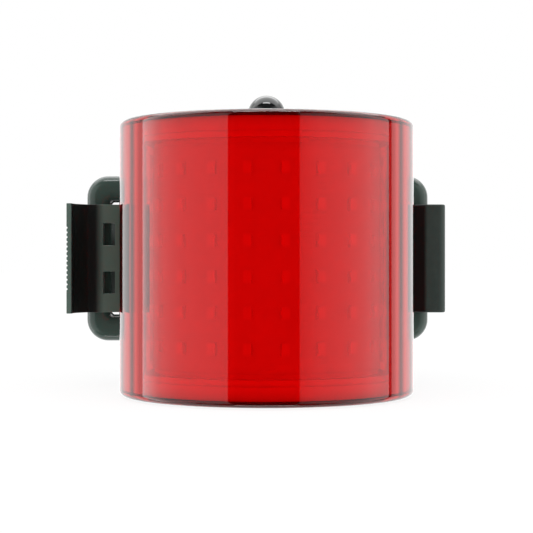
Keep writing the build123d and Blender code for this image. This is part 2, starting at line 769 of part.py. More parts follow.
with BuildPart() as cradle_bottom:
    with BuildSketch(lens_plane(cell_bottom - cradle_floor)):
        Circle(core_bore_radius)
    extrude(amount=cradle_grip + cradle_floor)
    with BuildSketch(lens_plane(cell_bottom)):
        with Locations((0, -cell_offset)):
            Circle(cell_radius)
    extrude(amount=cradle_grip, mode=Mode.SUBTRACT)
    with BuildSketch(lens_plane(cell_bottom - cradle_floor)):
        with Locations((0, -cell_offset)):
            Circle(cradle_opening_radius)
        with Locations((0, board_face - socket_depth / 2)):
            Rectangle(socket_width + socket_fit * 2, socket_depth)
        with Locations((0, board_face + board_thickness / 2)):
            Rectangle(board_width, board_thickness)
    extrude(amount=cradle_grip + cradle_floor, mode=Mode.SUBTRACT)
cradle_bottom.part.label = "cradle_bottom"
export_step(cradle_bottom.part, "parts/cradle_bottom.step")

# Cell: a round lithium cell
with BuildPart() as cell:
    with BuildSketch(lens_plane(cell_bottom)):
        with Locations((0, -cell_offset)):
            Circle(cell_radius)
    extrude(amount=cell_length)
    fillet(cell.edges().filter_by(GeomType.CIRCLE), cell_edge_round)
cell.part.label = "cell"
export_step(cell.part, "parts/cell.step")

# Switch: a small board on the upper cradle, the switch's body and the plunger in it
with BuildPart() as switch_board:
    with BuildSketch(lens_plane(cradle_top_level)):
        Circle(switch_board_radius)
    extrude(amount=switch_board_thickness)
switch_board.part.label = "switch_board"
export_step(switch_board.part, "parts/switch_board.step")

with BuildPart() as switch_body:
    with BuildSketch(lens_plane(switch_level)):
        Rectangle(switch_width, switch_width)
    extrude(amount=switch_height)
    with BuildSketch(lens_plane(switch_level + switch_floor)):
        Circle(plunger_radius + plunger_fit)
    extrude(amount=switch_height, mode=Mode.SUBTRACT)
switch_body.part.label = "switch_body"
export_step(switch_body.part, "parts/switch_body.step")

with BuildPart() as switch_plunger:
    with BuildSketch(lens_plane(plunger_top)):
        Circle(plunger_radius)
    extrude(amount=-plunger_length)
switch_plunger.part.label = "switch_plunger"
export_step(switch_plunger.part, "parts/switch_plunger.step")

# Main board, upright behind the cell
with BuildPart() as main_board:
    with BuildSketch(upright_plane(lens_y + board_face)):
        with Locations((0, (board_top + board_bottom) / 2)):
            Rectangle(board_width, board_top - board_bottom)
    extrude(amount=board_thickness)
main_board.part.label = "main_board"
export_step(main_board.part, "parts/main_board.step")

# Chips on the back of the board: one large chip with smaller ones round it
chip_step = large_chip / 2 + chip_gap + small_chip / 2
with BuildPart() as board_chips:
    with BuildSketch(upright_plane(lens_y + board_face + board_thickness)):
        Rectangle(large_chip, large_chip)
        with Locations((0, chip_step), (0, -chip_step), (chip_step, 0), (-chip_step, 0)):
            Rectangle(small_chip, small_chip)
    extrude(amount=chip_height)
board_chips.part.label = "board_chips"
export_step(board_chips.part, "parts/board_chips.step")

# Plug of the leads, on the front of the board
with BuildPart() as lead_plug:
    with BuildSketch(upright_plane(lens_y + board_face)):
        with Locations((0, plug_level + plug_height / 2)):
            Rectangle(plug_width, plug_height)
    extrude(amount=-plug_depth)
lead_plug.part.label = "lead_plug"
export_step(lead_plug.part, "parts/lead_plug.step")

# Leads: from the cell's top through the cradle's trench down to the plug
lead_start_y = cell_y + lead_bend
lead_drop_y = lens_y + board_face - plug_depth / 2
lead_level = cell_top + lead_radius
lead_end_level = plug_level + plug_height
with BuildPart() as lead_red:
    with BuildLine() as red_path:
        FilletPolyline(
            (-lead_spread, lead_start_y, lead_level),
            (-lead_spread, lead_drop_y, lead_level),
            (-lead_spread, lead_drop_y, lead_end_level),
            radius=lead_bend,
        )
    with BuildSketch(Plane(origin=red_path.line @ 0, z_dir=red_path.line % 0)):
        Circle(lead_radius)
    sweep(path=red_path.line)
lead_red.part.label = "lead_red"
export_step(lead_red.part, "parts/lead_red.step")

with BuildPart() as lead_black:
    with BuildLine() as black_path:
        FilletPolyline(
            (lead_spread, lead_start_y, lead_level),
            (lead_spread, lead_drop_y, lead_level),
            (lead_spread, lead_drop_y, lead_end_level),
            radius=lead_bend,
        )
    with BuildSketch(Plane(origin=black_path.line @ 0, z_dir=black_path.line % 0)):
        Circle(lead_radius)
    sweep(path=black_path.line)
lead_black.part.label = "lead_black"
export_step(lead_black.part, "parts/lead_black.step")

# Charging socket: a metal shell on the front of the board, open downwards, with its tongue inside
socket_mouth = -boss_level
with BuildPart() as socket_shell:
    with BuildSketch(lens_plane(socket_mouth)):
        with Locations((0, board_face - socket_depth / 2)):
            RectangleRounded(socket_width, socket_depth, socket_corner)
    extrude(amount=socket_length)
    with BuildSketch(lens_plane(socket_mouth)):
        with Locations((0, board_face - socket_depth / 2)):
            RectangleRounded(
                socket_width - socket_wall * 2,
                socket_depth - socket_wall * 2,
                socket_corner - socket_wall,
            )
    extrude(amount=socket_length - socket_wall, mode=Mode.SUBTRACT)
socket_shell.part.label = "socket_shell"
export_step(socket_shell.part, "parts/socket_shell.step")

with BuildPart() as socket_tongue:
    with BuildSketch(lens_plane(socket_mouth + tongue_recess)):
        with Locations((0, board_face - socket_depth / 2)):
            Rectangle(tongue_width, tongue_depth)
    extrude(amount=socket_length - socket_wall - tongue_recess)
socket_tongue.part.label = "socket_tongue"
export_step(socket_tongue.part, "parts/socket_tongue.step")

# Port flap: a soft cover in the recess of the bottom cap, with a plug into the port
recess_level = -end_level + recess_sink
with BuildPart() as port_flap:
    with BuildSketch(lens_plane(recess_level)):
        with Locations((0, board_face - socket_depth / 2)):
            RectangleRounded(
                recess_width - flap_side_gap * 2,
                recess_depth - flap_side_gap * 2,
                recess_corner - flap_side_gap,
            )
    extrude(amount=-flap_thickness)
    with BuildSketch(lens_plane(recess_level)):
        with Locations((0, board_face - socket_depth / 2)):
            RectangleRounded(
                port_width - plug_side_gap * 2,
                port_depth - plug_side_gap * 2,
                port_corner - plug_side_gap,
            )
    extrude(amount=plug_reach)
port_flap.part.label = "port_flap"
export_step(port_flap.part, "parts/port_flap.step")
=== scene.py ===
import json
import math

import bmesh
import bpy
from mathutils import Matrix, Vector


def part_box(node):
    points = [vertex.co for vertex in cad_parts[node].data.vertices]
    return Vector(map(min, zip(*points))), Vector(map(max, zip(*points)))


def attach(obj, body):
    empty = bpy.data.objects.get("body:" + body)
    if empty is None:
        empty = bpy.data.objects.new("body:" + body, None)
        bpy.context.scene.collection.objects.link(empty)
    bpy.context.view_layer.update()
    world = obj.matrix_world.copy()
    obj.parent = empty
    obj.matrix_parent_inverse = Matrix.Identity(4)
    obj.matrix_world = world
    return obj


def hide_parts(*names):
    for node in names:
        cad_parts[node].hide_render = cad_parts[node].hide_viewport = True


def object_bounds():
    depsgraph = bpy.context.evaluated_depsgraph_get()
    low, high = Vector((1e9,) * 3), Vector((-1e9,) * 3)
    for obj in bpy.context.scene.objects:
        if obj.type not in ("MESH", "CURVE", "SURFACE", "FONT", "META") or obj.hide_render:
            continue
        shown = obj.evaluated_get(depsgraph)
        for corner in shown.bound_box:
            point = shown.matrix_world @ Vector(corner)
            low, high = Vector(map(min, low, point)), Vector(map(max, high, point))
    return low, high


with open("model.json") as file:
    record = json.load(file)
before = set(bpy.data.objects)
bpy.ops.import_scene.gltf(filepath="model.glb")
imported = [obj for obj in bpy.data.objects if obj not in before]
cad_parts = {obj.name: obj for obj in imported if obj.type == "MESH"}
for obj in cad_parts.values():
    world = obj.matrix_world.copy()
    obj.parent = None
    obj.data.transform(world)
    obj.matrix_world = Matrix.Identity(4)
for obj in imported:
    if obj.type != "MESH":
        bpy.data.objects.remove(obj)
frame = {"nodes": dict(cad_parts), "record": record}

bl_info = {
    "name": "Strap-on Rear Light",
    "version": (1, 0, 0),
    "blender": (4, 5, 0),
    "location": "3D View > Sidebar > Rear Light",
    "description": "Dresses the packed rear light: lens, hook, strap, button, small parts and finishes",
    "category": "Object",
}

CAD_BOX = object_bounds()
MM = 0.001  # one millimetre, in metres

# Places of the frame's main pieces
LENS_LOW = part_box("lens")[0]
CAP_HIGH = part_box("top_cap")[1]
HOOK_LOW, HOOK_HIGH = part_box("hook")
PIN_LOW, PIN_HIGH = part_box("hook_pin")
STRAP_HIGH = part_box("strap")[1]
PAD_LOW, PAD_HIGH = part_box("post_pad")
BODY_LOW, BODY_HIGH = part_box("back_frame")
COLLAR_LOW, COLLAR_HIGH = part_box("button_collar")
BUTTON_LOW, BUTTON_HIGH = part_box("button")
SEAL_LOW, SEAL_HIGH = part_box("button_seal")
FLAP_LOW, FLAP_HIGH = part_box("port_flap")
GASKET_LOW, GASKET_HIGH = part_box("top_gasket")


def half_width(name):
    """Half of a node's width."""
    low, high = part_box(name)
    return (high.x - low.x) / 2


# Sizes of the lens, its caps and what is inside
LENS_RADIUS = half_width("lens")
LENS_Y = LENS_LOW.y + LENS_RADIUS
END_LEVEL = CAP_HIGH.z
LENS_WALL = 3.1 * MM
LENS_END_ROUND = 0.8 * MM
LENS_GAP_HALF = 5.2 * MM
LENS_BORE = LENS_RADIUS - LENS_WALL
SEAT_LEVEL = GASKET_LOW.z
CAP_FIT = 0.05 * MM
SEAT_RADIUS = half_width("top_cap") + CAP_FIT
EDGE_SUPPORT = 0.12 * MM  # how near an extra ring lies to a rounded edge
RAIL_TURN = math.radians(65.0)  # columns of LEDs that are turned further have a rail behind them

# Frame, strap and post
POST_RADIUS = 13.6 * MM
STRAP_THICKNESS = 2.2 * MM
BAR_WIDTH = 3.6 * MM
FRAME_DEPTH = 4.4 * MM
FRAME_STAND = 2.0 * MM  # from the lens's back to the face that the saddle lies on
SADDLE_Y = LENS_Y + LENS_RADIUS + FRAME_STAND
BAR_Y = SADDLE_Y - FRAME_DEPTH / 2
LEFT_BAR_X = BODY_LOW.x + BAR_WIDTH / 2
RIGHT_BAR_X = BODY_HIGH.x - BAR_WIDTH / 2
FRAME_EDGE_ROUND = 1.6 * MM
EYE_SIDE = 1.9 * MM
EYE_FRONT = 2.4 * MM
EYE_OUTER = 2.25 * MM
EYE_BACK = 2.2 * MM
EYE_SLOPE_WIDTH = 5.0 * MM
EYE_SLOPE_DEPTH = 1.7 * MM
EYE_OUTER_CORNER = 1.0 * MM
EYE_HOLLOW = 0.35 * MM
EYE_CORNER = 1.8 * MM
EYE_FIT = 0.05 * MM
KNUCKLE_RADIUS = 2.0 * MM
KNUCKLE_HALF = 5.55 * MM

# Hook and its pin
PIN_RADIUS = half_width("hook_pin")
PIN_X = (PIN_HIGH.x + PIN_LOW.x) / 2
PIN_Y = (PIN_HIGH.y + PIN_LOW.y) / 2
EAR_RADIUS = 2.2 * MM
EAR_HEIGHT = 2.1 * MM
KNUCKLE_GAP = 0.35 * MM
HOOK_BAR_GAP = 0.18 * MM
HOOK_WALL_INNER_X = BODY_LOW.x - HOOK_BAR_GAP
CLAW_THICKNESS = 1.6 * MM
CLAW_GAP = 0.13 * MM
CLAW_RADIUS = CLAW_GAP + FRAME_EDGE_ROUND + math.hypot(
    LEFT_BAR_X + BAR_WIDTH / 2 - FRAME_EDGE_ROUND - PIN_X,
    PIN_Y - BAR_Y + FRAME_DEPTH / 2 - FRAME_EDGE_ROUND,
)
LIP_EDGE = 0.8 * MM
LIP_SCOOP = 6.5 * MM
WINDOW_WIDTH = 1.7 * MM
WINDOW_HEIGHT = 3.27 * MM
WINDOW_LEVEL = 3.57 * MM
WINDOW_SETBACK = 2.55 * MM
SERRATION_PITCH = 0.68 * MM
SERRATION_DEPTH = 0.16 * MM
SERRATION_COUNT = 14

MIDDLE = Vector((0, LENS_Y, 0))
CAMERA_SHIFT = -0.0152  # how far the view is moved down, as a share of its width

# Brightness that glossy faces see at each side, by the angle from straight ahead in degrees
LEFT_BANDS = [
    (0.0, 0.0), (29.0, 0.0), (29.5, 0.7), (51.0, 0.8), (69.0, 0.95), (79.0, 1.2), (89.0, 1.5),
    (101.0, 2.6), (109.6, 3.4), (110.6, 0.85), (115.0, 0.9), (121.0, 1.25), (128.0, 1.45),
]
RIGHT_BANDS = [
    (0.0, 0.0), (24.8, 0.0), (25.3, 0.3), (28.0, 0.35), (41.0, 0.58), (57.0, 0.77), (75.0, 1.1),
    (91.0, 1.6), (107.6, 1.5), (108.4, 0.0), (111.4, 0.0), (112.2, 0.85), (119.0, 1.3), (128.0, 1.45),
]

# The same above and below, by the angle lifted from straight ahead, and what is seen through the lens,
# by the angle from straight behind
ABOVE_BANDS = [
    (0.0, 0.0), (65.5, 0.0), (66.5, 10.0), (73.5, 10.0), (74.5, 2.2), (118.0, 2.6), (128.0, 4.0),
    (150.0, 2.0),
]
BACKDROP_BANDS = [
    (0.0, 1.0), (4.0, 0.8), (8.0, 0.06), (12.0, 0.06), (22.0, 0.65), (28.0, 0.85), (32.0, 0.56),
    (36.0, 0.08), (38.5, 0.08), (44.5, 0.75), (50.0, 0.55), (80.0, 0.5),
]


# Node graphs


class Number:
    """A number socket of a node graph. Sums with it add their own nodes."""

    def __init__(self, graph, socket):
        self.graph = graph
        self.socket = socket

    def sum_with(self, operation, first, second=None):
        values = {0: first}
        if second is not None:
            values[1] = second
        return self.graph.number("ShaderNodeMath", {"operation": operation}, values)

    def __add__(self, other):
        return self.sum_with("ADD", self, other)

    def __radd__(self, other):
        return self.sum_with("ADD", other, self)

    def __sub__(self, other):
        return self.sum_with("SUBTRACT", self, other)

    def __rsub__(self, other):
        return self.sum_with("SUBTRACT", other, self)

    def __mul__(self, other):
        return self.sum_with("MULTIPLY", self, other)

    def __rmul__(self, other):
        return self.sum_with("MULTIPLY", other, self)

    def __truediv__(self, other):
        return self.sum_with("DIVIDE", self, other)

    def __mod__(self, other):
        return self.sum_with("FLOORED_MODULO", self, other)

    def __lt__(self, other):
        return self.sum_with("LESS_THAN", self, other)

    def __gt__(self, other):
        return self.sum_with("GREATER_THAN", self, other)

    def floor(self):
        return self.sum_with("FLOOR", self)

    def sine(self):
        return self.sum_with("SINE", self)

    def cosine(self):
        return self.sum_with("COSINE", self)

    def size(self):
        return self.sum_with("ABSOLUTE", self)

    def turn_to(self, other):
        return self.sum_with("ARCTAN2", self, other)

    def root(self):
        return self.sum_with("SQRT", self)


class Graph:
    """Adds nodes to a node tree."""

    def __init__(self, tree):
        self.tree = tree

    def add(self, kind, settings=None, values=None):
        node = self.tree.nodes.new(kind)
        for name, value in (settings or {}).items():
            setattr(node, name, value)
        for name, value in (values or {}).items():
            self.feed(node.inputs[name], value)
        return node

    def feed(self, socket, value):
        if isinstance(value, Number):
            value = value.socket
        if isinstance(value, bpy.types.NodeSocket):
            self.tree.links.new(value, socket)
        else:
            socket.default_value = value

    def number(self, kind, settings=None, values=None, output=0):
        return Number(self, self.add(kind, settings, values).outputs[output])

    def parts(self, vector):
        """The three numbers of a vector."""
        node = self.add("ShaderNodeSeparateXYZ", None, {0: vector})
        return [Number(self, node.outputs[index]) for index in range(3)]

    def vector(self, across=0.0, ahead=0.0, up=0.0):
        values = {0: across, 1: ahead, 2: up}
        return self.add("ShaderNodeCombineXYZ", None, values).outputs[0]

    def ramp(self, value, stops):
        node = self.add("ShaderNodeValToRGB", None, {"Fac": value})
        band = node.color_ramp
        while len(band.elements) < len(stops):
            band.elements.new(1.0)
        for element, (place, tone) in zip(band.elements, stops):
            element.position = place
            element.color = (tone, tone, tone, 1.0)
        return Number(self, node.outputs["Color"])

    def bands(self, angle, stops):
        """A brightness by an angle in degrees, from 0 to 180."""
        half_turn = 180.0
        peak = max(tone for place, tone in stops)
        tones = [(place / half_turn, tone / peak) for place, tone in stops]
        return self.ramp(angle / half_turn, tones) * peak

    def mixed(self, factor, first, second):
        node = self.add("ShaderNodeMix", {"data_type": "RGBA"}, {"Factor": factor})
        for index, colour in ((6, first), (7, second)):
            plain = isinstance(colour, tuple)
            self.feed(node.inputs[index], (*colour, 1.0) if plain else colour)
        return node.outputs[2]


class Finish(Graph):
    """A surface finish, built round one main shader."""

    def __init__(self, name, settings):
        self.material = bpy.data.materials.new(name)
        self.material.use_nodes = True
        super().__init__(self.material.node_tree)
        self.shader = self.tree.nodes["Principled BSDF"]
        for socket, value in settings.items():
            self.shader.inputs[socket].default_value = value
        self.place = self.add("ShaderNodeTexCoord").outputs["Object"]

    def axes(self):
        return self.parts(self.place)

    def noise(self, scale, detail=3.0, roughness=0.5):
        values = {"Vector": self.place, "Scale": scale, "Detail": detail, "Roughness": roughness}
        return self.number("ShaderNodeTexNoise", None, values)

    def cells(self, scale):
        values = {"Vector": self.place, "Scale": scale}
        return self.number("ShaderNodeTexVoronoi", {"feature": "F1"}, values)

    def soft_step(self, value, width):
        """Rises from 0 to 1 as a value grows from zero to a width."""
        return self.ramp(value / width, [(0.0, 0.0), (1.0, 1.0)])

    def lines(self, value, pitch, share):
        """1 on lines at an even pitch, which take up a share of it at each side of their middle."""
        return ((value / pitch) % 1.0 - 0.5).size() < share

    def done(self, colour, roughness, height, depth, strength):
        """Feeds the colour, the roughness and a bump to the shader, and returns the material."""
        self.feed(self.shader.inputs["Base Color"], colour)
        self.feed(self.shader.inputs["Roughness"], roughness)
        values = {"Height": height, "Distance": depth, "Strength": strength}
        bump = self.add("ShaderNodeBump", None, values)
        self.feed(self.shader.inputs["Normal"], bump.outputs["Normal"])
        return self.material


class Growth(Graph):
    """A geometry tree with named inputs."""

    def __init__(self, name, inputs=()):
        tree = bpy.data.node_groups.new(name, "GeometryNodeTree")
        for way in ("INPUT", "OUTPUT"):
            tree.interface.new_socket("Geometry", in_out=way, socket_type="NodeSocketGeometry")
        for title, kind, value in inputs:
            item = tree.interface.new_socket(title, in_out="INPUT", socket_type=kind)
            item.default_value = value
        super().__init__(tree)
        entry = self.add("NodeGroupInput")
        self.entry = entry.outputs[0]
        self.inputs = {title: Number(self, entry.outputs[title]) for title, kind, value in inputs}

    def block(self, width, depth, height):
        size = self.vector(width, depth, height)
        return self.add("GeometryNodeMeshCube", None, {"Size": size}).outputs["Mesh"]

    def moved(self, geometry, place):
        values = {"Geometry": geometry, "Translation": place}
        return self.add("GeometryNodeTransform", None, values).outputs[0]

    def joined(self, *pieces):
        node = self.add("GeometryNodeJoinGeometry")
        for piece in pieces:
            self.tree.links.new(piece, node.inputs[0])
        return node.outputs[0]

    def painted(self, geometry, finish):
        values = {"Geometry": geometry, "Material": made(finish)}
        return self.add("GeometryNodeSetMaterial", None, values).outputs[0]

    def spread(self, points, piece, turn, chosen=True):
        values = {"Points": points, "Instance": piece, "Rotation": turn, "Selection": chosen}
        return self.add("GeometryNodeInstanceOnPoints", None, values).outputs[0]

    def realized(self, geometry):
        return self.add("GeometryNodeRealizeInstances", None, {"Geometry": geometry}).outputs[0]

    def closed(self, geometry):
        self.add("NodeGroupOutput", None, {"Geometry": geometry})
        return self.tree


# Finishes


def made(name):
    """A finish that has been made."""
    found = bpy.data.materials.get(name)
    if found is None:
        raise RuntimeError(f"finish {name} hasn't been made")
    return found


def chosen_colour(name):
    """A colour from the settings."""
    return tuple(getattr(bpy.context.scene.rear_light_colours, name))


def scaled(colour, factor, lift=0.0):
    """A colour made lighter or darker."""
    return tuple(min(part * factor + lift, 1.0) for part in colour)


def finish_lens():
    """Clear moulded plastic, tinted red in its depth."""
    finish = Finish("red_lens", {"IOR": 1.585, "Transmission Weight": 0.995})
    tint = chosen_colour("lens_tint")
    haze = finish.noise(420.0, 2.0)
    flow = finish.noise(60.0, 1.0)
    return finish.done(finish.mixed(haze, tint, scaled(tint, 0.96)), 0.012, flow, 0.006 * MM, 0.25)


def moulded(name, colour, roughness, grain=0.0045 * MM, grain_scale=5200.0, coat=0.0, painted_side_light=None):
    """Moulded plastic: a fine grain, faint flow marks and duller patches, and painted light: paler beyond
    the lens's sides, where parts stand out into the side lights.
    """
    settings = {"IOR": 1.49, "Coat Weight": coat, "Coat Roughness": 0.08, "Specular IOR Level": 0.5}
    finish = Finish(name, settings)
    patches = finish.noise(230.0, 4.0, 0.6)
    grains = finish.noise(grain_scale, 2.0, 0.6)
    base = finish.mixed(patches, colour, scaled(colour, 1.28, 0.004))
    # Painted light: past the lens's sides the colour turns paler, as if lit by the side lights
    if painted_side_light is not None:
        painted_side_light_share = finish.soft_step(finish.axes()[0].size() - LENS_RADIUS, 0.5 * MM)
        base = finish.mixed(painted_side_light_share, base, painted_side_light)
    dull = roughness * 0.85 + patches * (roughness * 0.3)
    return finish.done(base, dull, grains, grain, 0.6)


def finish_black_plastic():
    """The frame and the caps: black with a soft shine, and painted light that makes the frame paler where
    it stands out beside the lens.
    """
    black = chosen_colour("frame_black")
    return moulded("black_plastic", black, 0.15, 0.0015 * MM, painted_side_light=(0.036, 0.056, 0.047))


def finish_hook_plastic():
    """The hook: a grey-black grained plate, with painted shade that makes the scoop of its lip a deep
    black.
    """
    finish = Finish("hook_plastic", {"IOR": 1.49, "Specular IOR Level": 0.4})
    black = chosen_colour("hook_black")
    across = finish.axes()[0]
    patches = finish.noise(230.0, 4.0, 0.6)
    grains = finish.noise(3600.0, 2.0, 0.6)
    # Painted shade: the scoop of the lip is coloured near-black where it lies in shade
    scoop_start = HOOK_LOW.x + LIP_EDGE * 0.8
    plate_start = PIN_X + 1.1 * MM
    past_lip = finish.soft_step(across - scoop_start, 0.12 * MM)
    painted_scoop_shade = past_lip * (1.0 - finish.soft_step(across - plate_start, 1.2 * MM))
    plate = finish.mixed(patches, black, scaled(black, 1.25))
    colour = finish.mixed(painted_scoop_shade * 0.96, plate, (0.004, 0.004, 0.004))
    return finish.done(colour, 0.34 + patches * 0.1, grains, 0.006 * MM, 0.6)


def finish_button():
    """Polished black."""
    return moulded("button_plastic", (0.006, 0.0065, 0.0065), 0.07, 0.001 * MM, 2500.0, 0.4)


def finish_switch_plastic():
    """Matt black of the small electric parts."""
    return moulded("switch_plastic", (0.03, 0.03, 0.032), 0.5, 0.004 * MM)


def finish_white_plastic():
    """Natural white plastic of the cradles and the plug."""
    return moulded("white_plastic", (0.72, 0.72, 0.69), 0.48, 0.006 * MM, 2600.0)


def finish_red_plastic():
    """The carrier inside the lens: strong red with a satin shine."""
    return moulded("red_plastic", chosen_colour("core_red"), 0.38, 0.004 * MM, 3000.0)


def finish_silicone():
    """Soft black silicone with a matt, slightly dusty skin, and painted shade that makes the hollow
    beside the eye's pad near-black.
    """
    settings = {"IOR": 1.41, "Sheen Weight": 0.04, "Specular IOR Level": 0.35}
    finish = Finish("soft_silicone", settings)
    black = chosen_colour("strap_black")
    across, ahead = finish.axes()[:2]
    dust = finish.noise(900.0, 5.0, 0.7)
    skin = finish.noise(3800.0, 3.0, 0.6)
    fade = 0.5 * MM
    # Painted shade: the hollow between the lens and the eye's pad is coloured near-black
    pad_edge = RIGHT_BAR_X - BAR_WIDTH / 2 - EYE_SIDE + EYE_SLOPE_WIDTH
    painted_hollow_shade = (1.0 - finish.soft_step(across - (pad_edge - fade), fade)) * (across > 0.0)
    painted_hollow_shade = painted_hollow_shade * (ahead < BAR_Y - FRAME_DEPTH / 2)
    dusty = finish.mixed(dust, black, scaled(black, 1.6, 0.004))
    colour = finish.mixed(painted_hollow_shade * 0.97, dusty, (0.002, 0.002, 0.002))
    return finish.done(colour, 0.36 + dust * 0.14, skin, 0.009 * MM, 0.7)


def finish_rubber():
    """Dense black rubber of the gaskets, bumpers and seal."""
    finish = Finish("seal_rubber", {"IOR": 1.5})
    dust = finish.noise(1500.0, 4.0, 0.65)
    colour = finish.mixed(dust, (0.012, 0.012, 0.012), (0.03, 0.03, 0.029))
    return finish.done(colour, 0.62 + dust * 0.2, dust, 0.012 * MM, 0.6)


def finish_film():
    """The film that carries the LEDs: red lacquer over fine copper tracks."""
    finish = Finish("film_board", {"IOR": 1.5, "Coat Weight": 0.3, "Coat Roughness": 0.2})
    across, ahead, level = finish.axes()
    track = finish.lines(level, 0.762 * MM, 0.06)
    rail = finish.lines(across.turn_to(LENS_Y - ahead), math.radians(8.2), 0.035)
    copper = track + rail - track * rail
    patches = finish.noise(300.0, 3.0)
    lacquer = finish.mixed(patches, chosen_colour("film_red"), (0.79, 0.003, 0.003))
    colour = finish.mixed(copper * 0.3, lacquer, (0.85, 0.03, 0.02))
    return finish.done(colour, 0.32 + patches * 0.1, copper, 0.02 * MM, 0.5)


def finish_led():
    """The resin of the LEDs, warm red under the lens."""
    finish = Finish("led_body", {"IOR": 1.52, "Coat Weight": 0.5, "Coat Roughness": 0.05})
    speckle = finish.cells(9000.0)
    colour = finish.mixed(speckle, (0.97, 0.04, 0.06), (0.9, 0.012, 0.02))
    return finish.done(colour, 0.2 + speckle * 0.15, speckle, 0.006 * MM, 0.4)


def finish_steel(name, colour, turned_about):
    """Machined steel with fine turned rings round an axis."""
    finish = Finish(name, {"Metallic": 1.0})
    across, ahead = finish.axes()[:2]
    side = ahead - turned_about
    reach = (across * across + side * side).root()
    rings = (reach / (0.055 * MM)).sine() * 0.5 + 0.5
    stain = finish.noise(700.0, 4.0)
    stained = finish.mixed(stain, colour, scaled(colour, 0.72))
    return finish.done(stained, 0.24 + stain * 0.16, rings, 0.003 * MM, 0.5)


def finish_circuit_board():
    """Green lacquer over copper tracks, with tinned pads."""
    finish = Finish("circuit_board", {"IOR": 1.5, "Coat Weight": 0.4, "Coat Roughness": 0.12})
    across, level = finish.axes()[::2]
    bend = finish.noise(240.0, 1.0)
    track = finish.lines(across + bend * (2.4 * MM), 0.9 * MM, 0.13)
    cross = finish.lines(level - bend * (1.9 * MM), 1.7 * MM, 0.08)
    copper = track + cross - track * cross
    pads = finish.cells(430.0) < 0.16
    board = finish.mixed(copper, (0.012, 0.11, 0.045), (0.03, 0.2, 0.07))
    colour = finish.mixed(pads, board, (0.7, 0.68, 0.62))
    finish.feed(finish.shader.inputs["Metallic"], pads)
    return finish.done(colour, 0.34 - pads * 0.08, copper + pads, 0.02 * MM, 0.6)


def finish_cell_wrap():
    """Blue shrink film with faint creases, and bare metal at the cell's two ends."""
    finish = Finish("cell_wrap", {"IOR": 1.5, "Coat Weight": 0.6, "Coat Roughness": 0.06})
    level = finish.axes()[2]
    crease = finish.noise(800.0, 4.0, 0.6)
    wrap_end = 11.2 * MM  # from the cell's middle
    bare = (level.size() > wrap_end) * 0.6
    wrap = finish.mixed(bare, (0.03, 0.13, 0.42), (0.55, 0.56, 0.58))
    colour = finish.mixed(crease * 0.25, wrap, (0.1, 0.24, 0.55))
    return finish.done(colour, 0.22 + crease * 0.12, crease, 0.02 * MM, 0.4)


def finish_wire(name, colour):
    """Soft wire sleeve with drawing marks along it."""
    finish = Finish(name, {"IOR": 1.5})
    marks = finish.noise(2200.0, 3.0)
    sleeve = finish.mixed(marks, colour, scaled(colour, 0.7))
    return finish.done(sleeve, 0.4 + marks * 0.15, marks, 0.005 * MM, 0.5)


# Mesh helpers


def arc(middle, radius, start, end, steps):
    """Points along an arc, from one angle to another in degrees."""
    points = []
    for step in range(steps + 1):
        turn = math.radians(start + (end - start) * step / steps)
        points.append((middle[0] + radius * math.cos(turn), middle[1] + radius * math.sin(turn)))
    return points


def between(middle, radius, first, last, steps, long_way=False):
    """Points along the arc about a middle, from the bearing of one point to that of another."""
    start = math.degrees(math.atan2(first[1] - middle[1], first[0] - middle[0]))
    end = math.degrees(math.atan2(last[1] - middle[1], last[0] - middle[0]))
    swing = (end - start + 180.0) % 360.0 - 180.0
    if long_way:
        swing -= math.copysign(360.0, swing)
    return arc(middle, radius, start, start + swing, steps)


def circle(middle, radius, steps):
    """Points round a whole circle."""
    return arc(middle, radius, 0.0, 360.0 - 360.0 / steps, steps - 1)


def round_box(middle, half_x, half_y, corner):
    """A rectangle of points with round corners."""
    points = []
    for turn, across, along in ((0, 1, 1), (90, -1, 1), (180, -1, -1), (270, 1, -1)):
        spot = (middle[0] + across * (half_x - corner), middle[1] + along * (half_y - corner))
        points += arc(spot, corner, turn, turn + 90, 8)
    return points


def finished(name, points, faces, finish):
    """A mesh object with merged points, outward faces and smooth shading but for its sharp edges."""
    mesh = bpy.data.meshes.new(name)
    mesh.from_pydata(points, [], faces)
    shape = bmesh.new()
    shape.from_mesh(mesh)
    bmesh.ops.remove_doubles(shape, verts=shape.verts, dist=0.0005 * MM)
    bmesh.ops.recalc_face_normals(shape, faces=shape.faces)
    shape.to_mesh(mesh)
    shape.free()
    for face in mesh.polygons:
        face.use_smooth = True
    mesh.set_sharp_from_angle(angle=math.radians(35.0))
    mesh.materials.append(made(finish))
    piece = bpy.data.objects.new(name, mesh)
    bpy.context.scene.collection.objects.link(piece)
    return piece


def turned(name, profile, finish, steps=192, gap_half=0.0):
    """A closed profile of (radius, level) points turned about the lens axis, less a slot at the back."""
    points = []
    faces = []
    count = len(profile)
    rings = steps + 1 if gap_half else steps
    for ring in range(rings):
        share = ring / steps
        for radius, level in profile:
            edge = math.asin(gap_half / radius) if gap_half else 0.0
            turn = edge + (math.tau - edge * 2) * share
            points.append((radius * math.sin(turn), LENS_Y + radius * math.cos(turn), level))
    for ring in range(steps):
        start = ring * count
        after = (ring + 1) % rings * count
        for index in range(count):
            follow = (index + 1) % count
            faces.append((start + index, start + follow, after + follow, after + index))
    if gap_half:
        faces.append(tuple(range(count)))
        faces.append(tuple(range(steps * count, (steps + 1) * count)))
    return finished(name, points, faces, finish)


def stacked(name, rings, finish):
    """Closed rings of points joined one to the next, with both ends covered."""
    points = [point for ring in rings for point in ring]
    count = len(rings[0])
    faces = [tuple(range(count)), tuple(range(len(points) - count, len(points)))]
    for start in range(0, len(points) - count, count):
        after = start + count
        for index in range(count):
            follow = (index + 1) % count
            faces.append((start + index, start + follow, after + follow, after + index))
    return finished(name, points, faces, finish)


